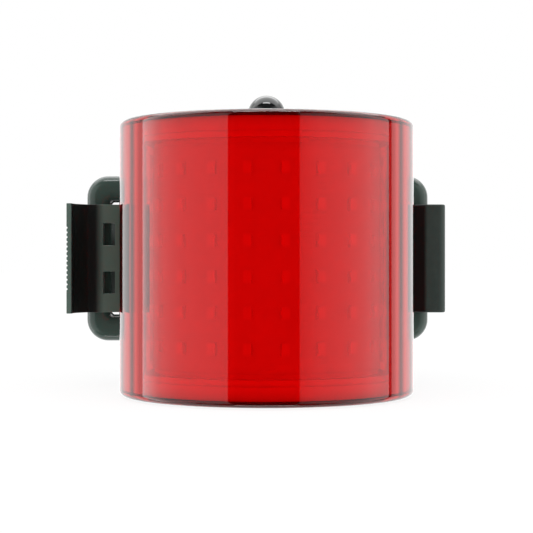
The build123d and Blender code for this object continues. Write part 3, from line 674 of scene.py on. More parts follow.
def slab(name, outline, low, high, finish):
    """An outline of (x, y) points between two levels."""
    rings = [[(x, y, level) for x, y in outline] for level in (low, high)]
    return stacked(name, rings, finish)


def settled(piece):
    """Turns the piece's modifiers into its mesh."""
    bpy.context.view_layer.update()
    view = bpy.context.evaluated_depsgraph_get()
    mesh = bpy.data.meshes.new_from_object(piece.evaluated_get(view))
    piece.modifiers.clear()
    old = piece.data
    piece.data = mesh
    bpy.data.meshes.remove(old)


def cut(piece, cutters):
    """Takes the cutters out of the piece."""
    for cutter in cutters:
        change = piece.modifiers.new("Cut", "BOOLEAN")
        change.operation = "DIFFERENCE"
        change.solver = "EXACT"
        change.object = cutter
    settled(piece)
    for cutter in cutters:
        bpy.data.objects.remove(cutter)


def rounded(piece, width, segments=3, angle=38.0):
    """Rounds the piece's sharp edges."""
    for edge in piece.data.edges:
        edge.use_edge_sharp = False
    change = piece.modifiers.new("Round", "BEVEL")
    change.width = width
    change.segments = segments
    change.limit_method = "ANGLE"
    change.angle_limit = math.radians(angle)
    even = piece.modifiers.new("Even", "WEIGHTED_NORMAL")
    even.weight = 80


def grown(name, tree, values, body):
    """Runs a geometry tree with its inputs set, and keeps the result as a plain mesh."""
    piece = bpy.data.objects.new(name, bpy.data.meshes.new(name))
    bpy.context.scene.collection.objects.link(piece)
    change = piece.modifiers.new("Growth", "NODES")
    change.node_group = tree
    for item in tree.interface.items_tree:
        if item.item_type == "SOCKET" and item.in_out == "INPUT" and item.name in values:
            change[item.identifier] = values[item.name]
    settled(piece)
    if not piece.data.polygons:
        raise RuntimeError(f"{name} came out empty")
    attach(piece, body)
    return piece


def tagged(piece, body, slot, *nodes):
    """The piece rides on its body and stands for its nodes, which are hidden. Its slot is not used."""
    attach(piece, body)
    if nodes:
        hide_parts(*nodes)


# Geometry trees


def led_tree():
    """Rows and columns of LEDs round the film, with a thin rail behind the columns at the sides."""
    graph = Growth(
        "LED columns",
        [
            ("Rows", "NodeSocketInt", 6),
            ("Columns", "NodeSocketInt", 14),
            ("Row pitch", "NodeSocketFloat", 4.57 * MM),
            ("Column angle", "NodeSocketFloat", math.radians(16.4)),
            ("Film radius", "NodeSocketFloat", half_width("led_film")),
            ("Width", "NodeSocketFloat", 1.0 * MM),
            ("Height", "NodeSocketFloat", 1.5 * MM),
            ("Thickness", "NodeSocketFloat", 0.45 * MM),
        ],
    )
    rows, columns, pitch, angle, film_radius, width, height, thickness = graph.inputs.values()
    index = graph.number("GeometryNodeInputIndex")
    row = (index / columns).floor()
    turn = (index % columns - (columns - 1) * 0.5) * angle
    reach = film_radius + thickness * 0.5
    level = (row - (rows - 1) * 0.5) * pitch
    place = graph.vector(turn.sine() * reach, LENS_Y - turn.cosine() * reach, level)
    points = graph.add("GeometryNodePoints", None, {"Count": rows * columns, "Position": place})

    # An LED: its body, a window that stands out of it, and a foot at each end
    body = graph.block(width, thickness, height)
    window = graph.block(width * 0.7, thickness * 0.3, height * 0.55)
    window = graph.moved(window, graph.vector(0.0, thickness * -0.38))
    foot = graph.block(width * 0.98, thickness * 0.5, height * 0.16)
    feet = []
    for side in (0.47, -0.47):
        feet.append(graph.moved(foot, graph.vector(0.0, thickness * 0.24, height * side)))
    chip = graph.painted(graph.joined(body, window, *feet), "led_body")

    rail = graph.painted(graph.block(width * 0.3, thickness * 0.92, pitch), "film_board")
    facing = graph.vector(0.0, 0.0, turn)
    chips = graph.spread(points.outputs[0], chip, facing)
    rails = graph.spread(points.outputs[0], rail, facing, turn.size() > RAIL_TURN)
    return graph.closed(graph.realized(graph.joined(chips, rails)))


def screw_tree():
    """A pair of pan-head screws with lobed sockets, each at its own place and turn."""
    graph = Growth(
        "Screw pair",
        [
            ("Head radius", "NodeSocketFloat", 1.6 * MM),
            ("Head height", "NodeSocketFloat", 0.45 * MM),
            ("Shank radius", "NodeSocketFloat", 1.0 * MM),
            ("Shank length", "NodeSocketFloat", 5.5 * MM),
            ("Socket depth", "NodeSocketFloat", 0.3 * MM),
            ("First place", "NodeSocketVector", (0.0, 0.0, 0.0)),
            ("First turn", "NodeSocketVector", (0.0, 0.0, 0.0)),
            ("Second place", "NodeSocketVector", (0.0, 0.0, 0.0)),
            ("Second turn", "NodeSocketVector", (0.0, 0.0, 0.0)),
        ],
    )
    height = graph.inputs["Head height"]
    length = graph.inputs["Shank length"]
    values = {"Vertices": 48, "Radius": graph.inputs["Head radius"]}
    geometry = graph.add("GeometryNodeMeshCircle", {"fill_type": "NGON"}, values).outputs["Mesh"]
    first_face = graph.add(
        "FunctionNodeCompare",
        {"data_type": "INT", "operation": "EQUAL"},
        {2: graph.number("GeometryNodeInputIndex")},
    )
    top = first_face.outputs[0]
    # Each step lifts the top and scales it. The last two make the rim of the socket and its floor
    steps = [
        (height * 0.55, 1.0, False),
        (height * 0.3, 0.93, False),
        (height * 0.15, 0.86, False),
        (height * 0.0, 0.52, True),
        (graph.inputs["Socket depth"] * -1.0, 0.96, False),
    ]
    for rise, scale, lobed in steps:
        values = {
            "Mesh": geometry,
            "Selection": top,
            "Offset": graph.vector(0.0, 0.0, 1.0),
            "Offset Scale": rise,
            "Individual": False,
        }
        raised = graph.add("GeometryNodeExtrudeMesh", {"mode": "FACES"}, values)
        top = raised.outputs["Top"]
        values = {"Geometry": raised.outputs["Mesh"], "Selection": top, "Scale": scale}
        geometry = graph.add("GeometryNodeScaleElements", {"domain": "FACE"}, values).outputs[0]
        if lobed:
            place = graph.add("GeometryNodeInputPosition").outputs[0]
            across, ahead = graph.parts(place)[:2]
            wave = (ahead.turn_to(across) * 6.0).cosine() * 0.14
            values = {
                "Geometry": geometry,
                "Selection": top,
                "Offset": graph.vector(across * wave, ahead * wave),
            }
            geometry = graph.add("GeometryNodeSetPosition", None, values).outputs[0]
    values = {"Vertices": 32, "Radius": graph.inputs["Shank radius"], "Depth": length}
    rod = graph.add("GeometryNodeMeshCylinder", None, values).outputs["Mesh"]
    screw = graph.joined(geometry, graph.moved(rod, graph.vector(0.0, 0.0, length * -0.5)))
    pair = []
    for title in ("First", "Second"):
        values = {
            "Geometry": screw,
            "Translation": graph.inputs[f"{title} place"],
            "Rotation": graph.inputs[f"{title} turn"],
        }
        pair.append(graph.add("GeometryNodeTransform", None, values).outputs[0])
    return graph.closed(graph.realized(graph.painted(graph.joined(*pair), "screw_steel")))


def soft_shading_tree():
    """Merges a node's loose triangles and shades its rounded faces smooth."""
    graph = Growth("Soft shading")
    values = {"Geometry": graph.entry, "Distance": 0.0005 * MM}
    merged = graph.add("GeometryNodeMergeByDistance", None, values)
    values = {"Geometry": merged.outputs[0], "Shade Smooth": True}
    smooth = graph.add("GeometryNodeSetShadeSmooth", {"domain": "FACE"}, values)
    angle = graph.number("GeometryNodeInputMeshEdgeAngle", output="Unsigned Angle")
    values = {
        "Geometry": smooth.outputs[0],
        "Selection": angle > math.radians(28.0),
        "Shade Smooth": False,
    }
    crisp = graph.add("GeometryNodeSetShadeSmooth", {"domain": "EDGE"}, values)
    return graph.closed(crisp.outputs[0])


# World


def studio_world(stage):
    """The room round the light. Glossy faces see a dark front, a soft light at each side, a small one
    above and a white backdrop. What is seen through the lens has narrow dark gaps in the backdrop."""
    world = bpy.data.worlds.new("Studio")
    world.use_nodes = True
    world.cycles.sampling_method = "NONE"
    graph = Graph(world.node_tree)
    plain = world.node_tree.nodes["Background"]
    plain.inputs["Color"].default_value = (1.0, 1.0, 1.0, 1.0)
    across, ahead, up = graph.parts(graph.add("ShaderNodeTexCoord").outputs["Generated"])
    degree = math.degrees(1.0)
    side_angle = across.size().turn_to(ahead * -1.0) * degree
    lift_angle = up.size().turn_to(ahead * -1.0) * degree

    # What glossy faces see
    left = graph.bands(side_angle, LEFT_BANDS)
    right = graph.bands(side_angle, RIGHT_BANDS)
    on_right = across > 0.0
    sides = left * stage.left_glow * (1.0 - on_right) + right * stage.right_glow * on_right
    above = graph.bands(lift_angle, ABOVE_BANDS)
    strip = (across.size() < 0.3) + (lift_angle > 74.5)
    steep = graph.bands(up.size() * 180.0, [(0.0, 0.0), (110.0, 0.0), (118.0, 1.0)])
    fainter_below = 1.0 - (up < 0.0) * 0.6
    seen = sides * (1.0 - steep) + above * (strip > 0.5) * steep * fainter_below * stage.top_glow

    # What is seen through the lens, and the room that lights matt faces
    gaps = graph.bands(180.0 - side_angle, BACKDROP_BANDS)
    path = graph.add("ShaderNodeLightPath")
    camera = Number(graph, path.outputs["Is Camera Ray"])
    through = Number(graph, path.outputs["Is Transmission Ray"])
    soft = Number(graph, path.outputs["Diffuse Depth"]) > 0.5
    sharp = gaps * through + seen * (1.0 - through)
    room = (0.7 - ahead * 0.3) * stage.ambient
    tone = (soft * room + sharp * (1.0 - soft)) * (1.0 - camera) + camera
    graph.feed(plain.inputs["Strength"], tone)
    return world


# Settings


class RearLightColours(bpy.types.PropertyGroup):
    """Colours of the main pieces."""

    lens_tint: bpy.props.FloatVectorProperty(
        name="Lens tint",
        description="Tint of the clear lens",
        subtype="COLOR",
        default=(0.97, 0.03, 0.03),
    )
    core_red: bpy.props.FloatVectorProperty(
        name="Carrier red",
        description="Red of the carrier's discs",
        subtype="COLOR",
        default=(0.85, 0.003, 0.003),
    )
    film_red: bpy.props.FloatVectorProperty(
        name="Film red",
        description="Red of the film under the LEDs",
        subtype="COLOR",
        default=(0.86, 0.004, 0.004),
    )
    frame_black: bpy.props.FloatVectorProperty(
        name="Frame black",
        description="Black of the frame and caps",
        subtype="COLOR",
        default=(0.015, 0.0215, 0.0185),
    )
    hook_black: bpy.props.FloatVectorProperty(
        name="Hook black",
        description="Black of the hook",
        subtype="COLOR",
        default=(0.055, 0.088, 0.072),
    )
    strap_black: bpy.props.FloatVectorProperty(
        name="Strap black",
        description="Black of the strap and saddle",
        subtype="COLOR",
        default=(0.017, 0.026, 0.022),
    )


class RearLightSizes(bpy.types.PropertyGroup):
    """Sizes of the details that the frame leaves open."""

    led_rows: bpy.props.IntProperty(name="LED rows", description="Rows of LEDs", default=6, min=1)
    led_columns: bpy.props.IntProperty(
        name="LED columns", description="Columns of LEDs", default=14, min=1
    )
    hook_round: bpy.props.FloatProperty(
        name="Hook rounding",
        description="Rounding of the hook's edges",
        default=0.22 * MM,
        unit="LENGTH",
    )
    strap_round: bpy.props.FloatProperty(
        name="Strap rounding",
        description="Rounding of the strap's edges",
        default=0.4 * MM,
        unit="LENGTH",
    )
    pad_round: bpy.props.FloatProperty(
        name="Saddle rounding",
        description="Rounding of the saddle's edges",
        default=0.45 * MM,
        unit="LENGTH",
    )


class RearLightStage(bpy.types.PropertyGroup):
    """The light and the camera."""

    left_glow: bpy.props.FloatProperty(
        name="Left light", description="Brightness of the left light", default=1.0
    )
    lamp_share: bpy.props.FloatProperty(
        name="Lamp share",
        description="Brightness of the lamps beside what the glossy faces show",
        default=0.4,
    )
    right_glow: bpy.props.FloatProperty(
        name="Right light", description="Brightness of the right light", default=1.0
    )
    top_glow: bpy.props.FloatProperty(
        name="Top light", description="Brightness of the top light", default=1.0
    )
    ambient: bpy.props.FloatProperty(
        name="Room light", description="Brightness of the room for matt faces", default=1.6
    )
    focal: bpy.props.FloatProperty(
        name="Focal length",
        description="Focal length of the camera",
        default=98.95,
        subtype="DISTANCE_CAMERA",
    )
    distance: bpy.props.FloatProperty(
        name="Camera distance",
        description="From the lens axis to the camera",
        default=0.2,
        unit="LENGTH",
    )


# Actions


class REARLIGHT_OT_finishes(bpy.types.Operator):
    """Make every finish"""

    bl_idname = "rearlight.finishes"
    bl_label = "Make the finishes"

    def execute(self, context):
        for node in frame["nodes"].values():
            node.data.materials.clear()
        for plain in list(bpy.data.materials):
            bpy.data.materials.remove(plain)
        finish_lens()
        finish_black_plastic()
        finish_hook_plastic()
        finish_button()
        finish_switch_plastic()
        finish_white_plastic()
        finish_red_plastic()
        finish_silicone()
        finish_rubber()
        finish_film()
        finish_led()
        finish_steel("screw_steel", (0.56, 0.56, 0.57), LENS_Y)
        finish_steel("socket_steel", (0.66, 0.66, 0.67), LENS_Y)
        finish_circuit_board()
        finish_cell_wrap()
        finish_wire("red_wire", (0.5, 0.008, 0.008))
        finish_wire("black_wire", (0.012, 0.012, 0.012))
        return {"FINISHED"}


class REARLIGHT_OT_nodes(bpy.types.Operator):
    """Dress the frame's own nodes that keep their shape"""

    bl_idname = "rearlight.nodes"
    bl_label = "Dress the nodes"

    def execute(self, context):
        tree = soft_shading_tree()
        for entry in frame["record"]["subparts"]:
            node = frame["nodes"][entry["node"]]
            node.data.materials.append(made(entry["material_slot"]))
            change = node.modifiers.new("Soft shading", "NODES")
            change.node_group = tree
        return {"FINISHED"}


class REARLIGHT_OT_lens(bpy.types.Operator):
    """Make the lens"""

    bl_idname = "rearlight.lens"
    bl_label = "Make the lens"

    def execute(self, context):
        round_level = END_LEVEL - LENS_END_ROUND
        round_middle = LENS_RADIUS - LENS_END_ROUND
        rim_turn = math.degrees(math.acos((SEAT_RADIUS - round_middle) / LENS_END_ROUND))
        upper = [
            (LENS_BORE, 0.0),
            (LENS_BORE, SEAT_LEVEL - EDGE_SUPPORT * 3),
            (LENS_BORE, SEAT_LEVEL),
            (SEAT_RADIUS, SEAT_LEVEL),
        ]
        upper += arc((round_middle, round_level), LENS_END_ROUND, rim_turn, 0.0, 14)
        for level in (round_level - EDGE_SUPPORT, round_level - EDGE_SUPPORT * 3, 0.0):
            upper.append((LENS_RADIUS, level))
        lower = [(radius, -level) for radius, level in reversed(upper[1:-1])]
        piece = turned("lens_shell", upper + lower, "red_lens", 320, LENS_GAP_HALF)
        tagged(piece, "housing", "red_lens", "lens")
        return {"FINISHED"}


class REARLIGHT_OT_seals(bpy.types.Operator):
    """Make the gaskets and the button's seal"""

    bl_idname = "rearlight.seals"
    bl_label = "Make the seals"

    def execute(self, context):
        outer = half_width("top_gasket")
        inner = LENS_BORE + 0.2 * MM
        low = GASKET_LOW.z
        high = GASKET_HIGH.z
        round_off = (high - low) / 3
        profile = [
            (inner, low + round_off),
            (inner + round_off, low),
            (outer - round_off, low),
            (outer, low + round_off),
            (outer, high - round_off),
            (outer - round_off, high),
            (inner + round_off, high),
            (inner, high - round_off),
        ]
        for name, side in (("top_gasket", 1), ("bottom_gasket", -1)):
            ring = [(radius, level * side) for radius, level in profile]
            piece = turned(name + "_ring", ring, "seal_rubber", 192, LENS_GAP_HALF)
            tagged(piece, "housing", "seal_rubber", name)

        radius = half_width("button_seal")
        hole = 1.28 * MM
        rim = radius - 1.4 * MM
        web = SEAL_LOW.z + 0.5 * MM
        wave = 0.12 * MM
        folds = 3
        steps = folds * 6
        profile = [(hole, SEAL_LOW.z)]
        for step in range(steps + 1):
            share = step / steps
            level = web - wave + wave * math.cos(share * folds * math.tau)
            profile.append((hole + (rim - hole) * share, level))
        profile += [(rim, SEAL_HIGH.z), (radius, SEAL_HIGH.z), (radius, SEAL_LOW.z)]
        piece = turned("button_seal_ring", profile, "seal_rubber", 96)
        tagged(piece, "housing", "seal_rubber", "button_seal")
        return {"FINISHED"}


class REARLIGHT_OT_button(bpy.types.Operator):
    """Make the button and its collar"""

    bl_idname = "rearlight.button"
    bl_label = "Make the button"

    def execute(self, context):
        radius = 2.57 * MM
        fit = 0.08 * MM
        stem = 1.2 * MM
        dome_level = BUTTON_HIGH.z - radius
        flange_radius = half_width("button")
        flange_top = COLLAR_LOW.z - 0.05 * MM
        flange_low = flange_top - 0.5 * MM
        profile = [
            (0.0, BUTTON_LOW.z),
            (stem, BUTTON_LOW.z),
            (stem, flange_low),
            (flange_radius, flange_low),
            (flange_radius, flange_top),
            (radius, flange_top),
            (radius, dome_level - EDGE_SUPPORT * 3),
            (radius, dome_level - EDGE_SUPPORT),
        ]
        profile += arc((0.0, dome_level), radius, 0.0, 90.0, 26)
        piece = turned("button_dome", profile, "button_plastic", 128)
        tagged(piece, "button", "button_plastic", "button")

        rim = half_width("button_collar")
        skirt = rim - 0.7 * MM
        top = COLLAR_HIGH.z
        outer_round = 0.42 * MM
        inner_round = 0.2 * MM
        bore = radius + fit
        profile = [(bore, COLLAR_LOW.z), (skirt, COLLAR_LOW.z), (skirt, END_LEVEL), (rim, END_LEVEL)]
        profile += arc((rim - outer_round, top - outer_round), outer_round, 0.0, 90.0, 8)
        profile += arc((bore + inner_round, top - inner_round), inner_round, 90.0, 180.0, 6)
        piece = turned("collar_ring", profile, "black_plastic", 128)
        tagged(piece, "housing", "black_plastic", "button_collar")
        return {"FINISHED"}


class REARLIGHT_OT_hook(bpy.types.Operator):
    """Make the hook"""

    bl_idname = "rearlight.hook"
    bl_label = "Make the hook"

    def side_outline(self, pin):
        """The hook seen along its pin, and the place of the plate's first outer corner in it."""
        outer_radius = CLAW_RADIUS + CLAW_THICKNESS

        def front(radius, x):
            """The point in front of the pin on a circle about it, at a place across."""
            return (x, PIN_Y - math.sqrt(radius**2 - (x - PIN_X) ** 2))

        wall_x = HOOK_LOW.x
        scoop_end = (PIN_X, PIN_Y - outer_radius)
        lip_tip = (wall_x + LIP_EDGE, HOOK_LOW.y)
        chord = Vector(scoop_end) - Vector(lip_tip)
        rise = math.sqrt(LIP_SCOOP**2 - (chord.length / 2) ** 2)
        side = Vector((chord.y, -chord.x)).normalized()
        scoop_middle = Vector(lip_tip) + chord / 2 + side * rise
        tip_in = front(CLAW_RADIUS, HOOK_HIGH.x)
        outline = between(pin, CLAW_RADIUS, tip_in, front(CLAW_RADIUS, HOOK_WALL_INNER_X), 18)
        outline += [(HOOK_WALL_INNER_X, PIN_Y), (wall_x, PIN_Y)]
        corner = len(outline) - 1
        outline += [(wall_x, HOOK_LOW.y)]
        outline += between(tuple(scoop_middle), LIP_SCOOP, lip_tip, scoop_end, 14)
        outline += between(pin, outer_radius, scoop_end, front(outer_radius, HOOK_HIGH.x), 14)[1:]
        return outline, corner

    def execute(self, context):
        half = HOOK_HIGH.z
        pin = (PIN_X, PIN_Y)
        outline, corner = self.side_outline(pin)
        groove = SERRATION_PITCH / 4
        groove_floor = groove * 0.4
        levels = [(-half, 0.0)]
        for count in range(SERRATION_COUNT):
            level = (count - (SERRATION_COUNT - 1) / 2) * SERRATION_PITCH
            levels += [
                (level - groove, 0.0),
                (level - groove_floor, SERRATION_DEPTH),
                (level + groove_floor, SERRATION_DEPTH),
                (level + groove, 0.0),
            ]
        levels.append((half, 0.0))
        rings = []
        for level, depth in levels:
            ring = [(x, y, level) for x, y in outline]
            for index in (corner, corner + 1):
                x, y = outline[index]
                ring[index] = (x + depth, y, level)
            rings.append(ring)
        piece = stacked("hook_body", rings, "hook_plastic")
        left = HOOK_HIGH.x - WINDOW_SETBACK - WINDOW_WIDTH / 2
        right = left + WINDOW_WIDTH
        window = [(left, BAR_Y), (right, BAR_Y), (right, HOOK_LOW.y), (left, HOOK_LOW.y)]
        cutters = []
        for side in (1, -1):
            low = side * WINDOW_LEVEL - WINDOW_HEIGHT / 2
            cutters.append(slab("window", window, low, low + WINDOW_HEIGHT, "hook_plastic"))
        cut(piece, cutters)
        rounded(piece, context.scene.rear_light_sizes.hook_round)
        tagged(piece, "hook", "hook_plastic", "hook")

        for name, low in (("hook_ear_upper", half - EAR_HEIGHT), ("hook_ear_lower", -half)):
            ear = slab(name, circle(pin, EAR_RADIUS, 48), low, low + EAR_HEIGHT, "hook_plastic")
            rounded(ear, 0.2 * MM)
            tagged(ear, "hook", "hook_plastic")
        return {"FINISHED"}


class REARLIGHT_OT_strap(bpy.types.Operator):
    """Make the strap"""

    bl_idname = "rearlight.strap"
    bl_label = "Make the strap"

    def band_outline(self, pin):
        """The strap seen along the post: its band round the post, the knuckle and the eye."""
        inner = POST_RADIUS
        outer = POST_RADIUS + STRAP_THICKNESS
        half_thickness = STRAP_THICKNESS / 2
        middle_radius = inner + half_thickness
        right_lean = math.acos(middle_radius / math.hypot(RIGHT_BAR_X, BAR_Y))
        right_turn = math.atan2(BAR_Y, RIGHT_BAR_X) + right_lean
        left_lean = math.acos(middle_radius / math.hypot(PIN_X, PIN_Y))
        left_turn = math.atan2(PIN_Y, PIN_X) % math.tau - left_lean
        band_start = math.degrees(right_turn)
        band_end = math.degrees(left_turn)

        # Knuckle round the pin, where the band's left end runs into it
        left_way = Vector((-math.sin(left_turn), math.cos(left_turn)))
        left_out = Vector((math.cos(left_turn), math.sin(left_turn)))
        neck = pin - left_way * math.sqrt(KNUCKLE_RADIUS**2 - half_thickness**2)
        knuckle_first = neck + left_out * half_thickness
        knuckle_last = neck - left_out * half_thickness

        # Eye round the right bar, where the band's right end runs into its back
        eye_left = RIGHT_BAR_X - BAR_WIDTH / 2 - EYE_SIDE
        eye_right = RIGHT_BAR_X + BAR_WIDTH / 2 + EYE_OUTER
        eye_front = BAR_Y - FRAME_DEPTH / 2 - EYE_FRONT
        eye_back = BAR_Y + FRAME_DEPTH / 2 + EYE_BACK
        right_way = Vector((math.sin(right_turn), -math.cos(right_turn)))
        bend = []
        for radius in (inner, outer):
            start = Vector((math.cos(right_turn), math.sin(right_turn))) * radius
            bend.append(start + right_way * ((eye_back - start.y) / right_way.y))

        outline = [tuple(bend[0])]
        outline += arc((0.0, 0.0), inner, band_start, band_end, 72)
        outline += between(tuple(pin), KNUCKLE_RADIUS, knuckle_last, knuckle_first, 30, True)
        outline += arc((0.0, 0.0), outer, band_end, band_start, 72)
        outline += [tuple(bend[1])]
        outer_join = 75.0
        corner = (eye_right - EYE_CORNER, eye_back - EYE_CORNER)
        outline += arc(corner, EYE_CORNER, outer_join, 0.0, 7)
        nose = (eye_right - EYE_OUTER_CORNER, eye_front + EYE_OUTER_CORNER)
        outline += arc(nose, EYE_OUTER_CORNER, 0.0, -90.0, 8)
        slope_top = Vector((eye_left + EYE_SLOPE_WIDTH, eye_front))
        slope = Vector((-EYE_SLOPE_WIDTH, EYE_SLOPE_DEPTH))
        dip = Vector((EYE_SLOPE_DEPTH, EYE_SLOPE_WIDTH)).normalized() * EYE_HOLLOW
        hollow_steps = 12
        for step in range(hollow_steps + 1):
            share = step / hollow_steps
            outline.append(tuple(slope_top + slope * share + dip * math.sin(share * math.pi)))
        corner = (eye_left + EYE_CORNER, eye_back - EYE_CORNER)
        inner_join = math.degrees(math.acos((bend[0].x - corner[0]) / EYE_CORNER))
        outline += arc(corner, EYE_CORNER, 180.0, inner_join, 6)

        # Points that nearly meet would stop the rounding of the edges
        nearest = 0.1 * MM
        return [
            point for order, point in enumerate(outline)
            if math.dist(point, outline[order - 1]) > nearest
        ]

    def execute(self, context):
        half = STRAP_HIGH.z
        far = half + 1.0 * MM
        pin = Vector((PIN_X, PIN_Y))
        piece = slab("strap_band", self.band_outline(pin), -half, half, "soft_silicone")
        rounded(piece, context.scene.rear_light_sizes.strap_round, 4)
        settled(piece)
        bar_hole = round_box(
            (RIGHT_BAR_X, BAR_Y),
            BAR_WIDTH / 2 + EYE_FIT,
            FRAME_DEPTH / 2 + EYE_FIT,
            FRAME_EDGE_ROUND,
        )
        pin_hole = circle(tuple(pin), PIN_RADIUS + 0.06 * MM, 24)
        ear_room = circle(tuple(pin), EAR_RADIUS + KNUCKLE_GAP, 48)
        cutters = []
        for hole, low, high in (
            (bar_hole, -far, far),
            (pin_hole, -far, far),
            (ear_room, KNUCKLE_HALF, far),
            (ear_room, -far, -KNUCKLE_HALF),
        ):
            cutters.append(slab("hole", hole, low, high, "soft_silicone"))
        cut(piece, cutters)
        tagged(piece, "housing", "soft_silicone", "strap")
        return {"FINISHED"}


class REARLIGHT_OT_saddle(bpy.types.Operator):
    """Make the saddle"""

    bl_idname = "rearlight.saddle"
    bl_label = "Make the saddle"

    def execute(self, context):
        reach_x = PAD_HIGH.x
        groove_count = 9
        groove_depth = 0.45 * MM
        steps = 108
        edge = math.degrees(math.asin(reach_x / POST_RADIUS))
        outline = [(-reach_x, PAD_LOW.y), (reach_x, PAD_LOW.y)]
        for step in range(steps + 1):
            share = step / steps
            turn = math.radians(-90.0 + edge - edge * 2 * share)
            wave = math.cos((share - 0.5) * math.tau * groove_count)
            depth = groove_depth * max(0.0, min(1.0, -wave * 2.0))
            if min(share, 1.0 - share) < 0.5 / groove_count:
                depth = 0.0
            radius = POST_RADIUS + depth
            outline.append((radius * math.cos(turn), radius * math.sin(turn)))

        # The pad narrows towards its upper and lower end
        half = PAD_HIGH.z
        corner = 1.5 * MM
        levels = [(half - corner, 0.0), (half - corner * 0.3, corner * 0.25), (half, corner * 0.7)]
        rings = []
        for level, tuck in [(-level, tuck) for level, tuck in reversed(levels)] + levels:
            squeeze = (reach_x - tuck) / reach_x
            rings.append([(x * squeeze, y, level) for x, y in outline])
        piece = stacked("saddle_pad", rings, "soft_silicone")
        rounded(piece, context.scene.rear_light_sizes.pad_round, 3, 50.0)
        tagged(piece, "housing", "soft_silicone", "post_pad")
        return {"FINISHED"}


class REARLIGHT_OT_flap(bpy.types.Operator):
    """Make the port flap"""

    bl_idname = "rearlight.flap"
    bl_label = "Make the port flap"

    def plate(self, inset, corner, level):
        """The flap's outline, moved inwards, at a level."""
        middle = (0.0, (FLAP_LOW.y + FLAP_HIGH.y) / 2)
        half_y = (FLAP_HIGH.y - FLAP_LOW.y) / 2
        ring = round_box(middle, FLAP_HIGH.x - inset, half_y - inset, corner)
        return [(x, y, level) for x, y in ring]

    def execute(self, context):
        low = FLAP_LOW.z
        seat = low + 0.8 * MM
        corner = 1.3 * MM
        edge = 0.2 * MM
        dish = 0.12 * MM
        rim = 0.9 * MM
        plug = 1.4 * MM
        plug_corner = 1.2 * MM
        plug_edge = 0.15 * MM
        rings = [
            self.plate(rim + dish, corner * 0.5, low + dish),
            self.plate(rim, corner * 0.6, low),
            self.plate(edge, corner, low),
            self.plate(0.0, corner, low + edge),
            self.plate(0.0, corner, seat),
            self.plate(plug, plug_corner, seat),
            self.plate(plug, plug_corner, FLAP_HIGH.z - plug_edge),
            self.plate(plug + plug_edge, plug_corner, FLAP_HIGH.z),
        ]
        piece = stacked("flap_cover", rings, "soft_silicone")
        tagged(piece, "flap", "soft_silicone", "port_flap")
        return {"FINISHED"}


class REARLIGHT_OT_leds(bpy.types.Operator):
    """Make the LEDs"""

    bl_idname = "rearlight.leds"
    bl_label = "Make the LEDs"

    def execute(self, context):
        sizes = context.scene.rear_light_sizes
        values = {"Rows": sizes.led_rows, "Columns": sizes.led_columns}
        piece = grown("led_columns", led_tree(), values, "housing")
        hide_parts("leds")
        return {"FINISHED"}


class REARLIGHT_OT_screws(bpy.types.Operator):
    """Make the screws of the caps and of the frame"""

    bl_idname = "rearlight.screws"
    bl_label = "Make the screws"

    def execute(self, context):
        tree = screw_tree()
        cap_low, cap_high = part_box("cap_screws")
        head = 0.3 * MM
        seat = cap_high.z - head
        place_y = (cap_low.y + cap_high.y) / 2
        values = {
            "Head radius": half_width("cap_screws"),
            "Head height": head,
            "Shank length": 5.7 * MM,
            "Socket depth": 0.2 * MM,
            "First place": (0.0, place_y, seat),
            "Second place": (0.0, place_y, -seat),
            "Second turn": (math.pi, 0.0, 0.0),
        }
        piece = grown("cap_screw_pair", tree, values, "housing")
        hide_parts("cap_screws")

        frame_low, frame_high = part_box("frame_screws")
        head = 1.3 * MM
        seat = frame_high.y - head
        radius = half_width("frame_screws")
        level = frame_high.z - radius
        values = {
            "Head radius": radius,
            "Head height": head,
            "Shank length": seat - frame_low.y,
            "Socket depth": 0.8 * MM,
            "First place": (0.0, seat, level),
            "First turn": (-math.pi / 2, 0.0, 0.0),
            "Second place": (0.0, seat, -level),
            "Second turn": (-math.pi / 2, 0.0, 0.0),
        }
        piece = grown("frame_screw_pair", tree, values, "housing")
        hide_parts("frame_screws")
        return {"FINISHED"}


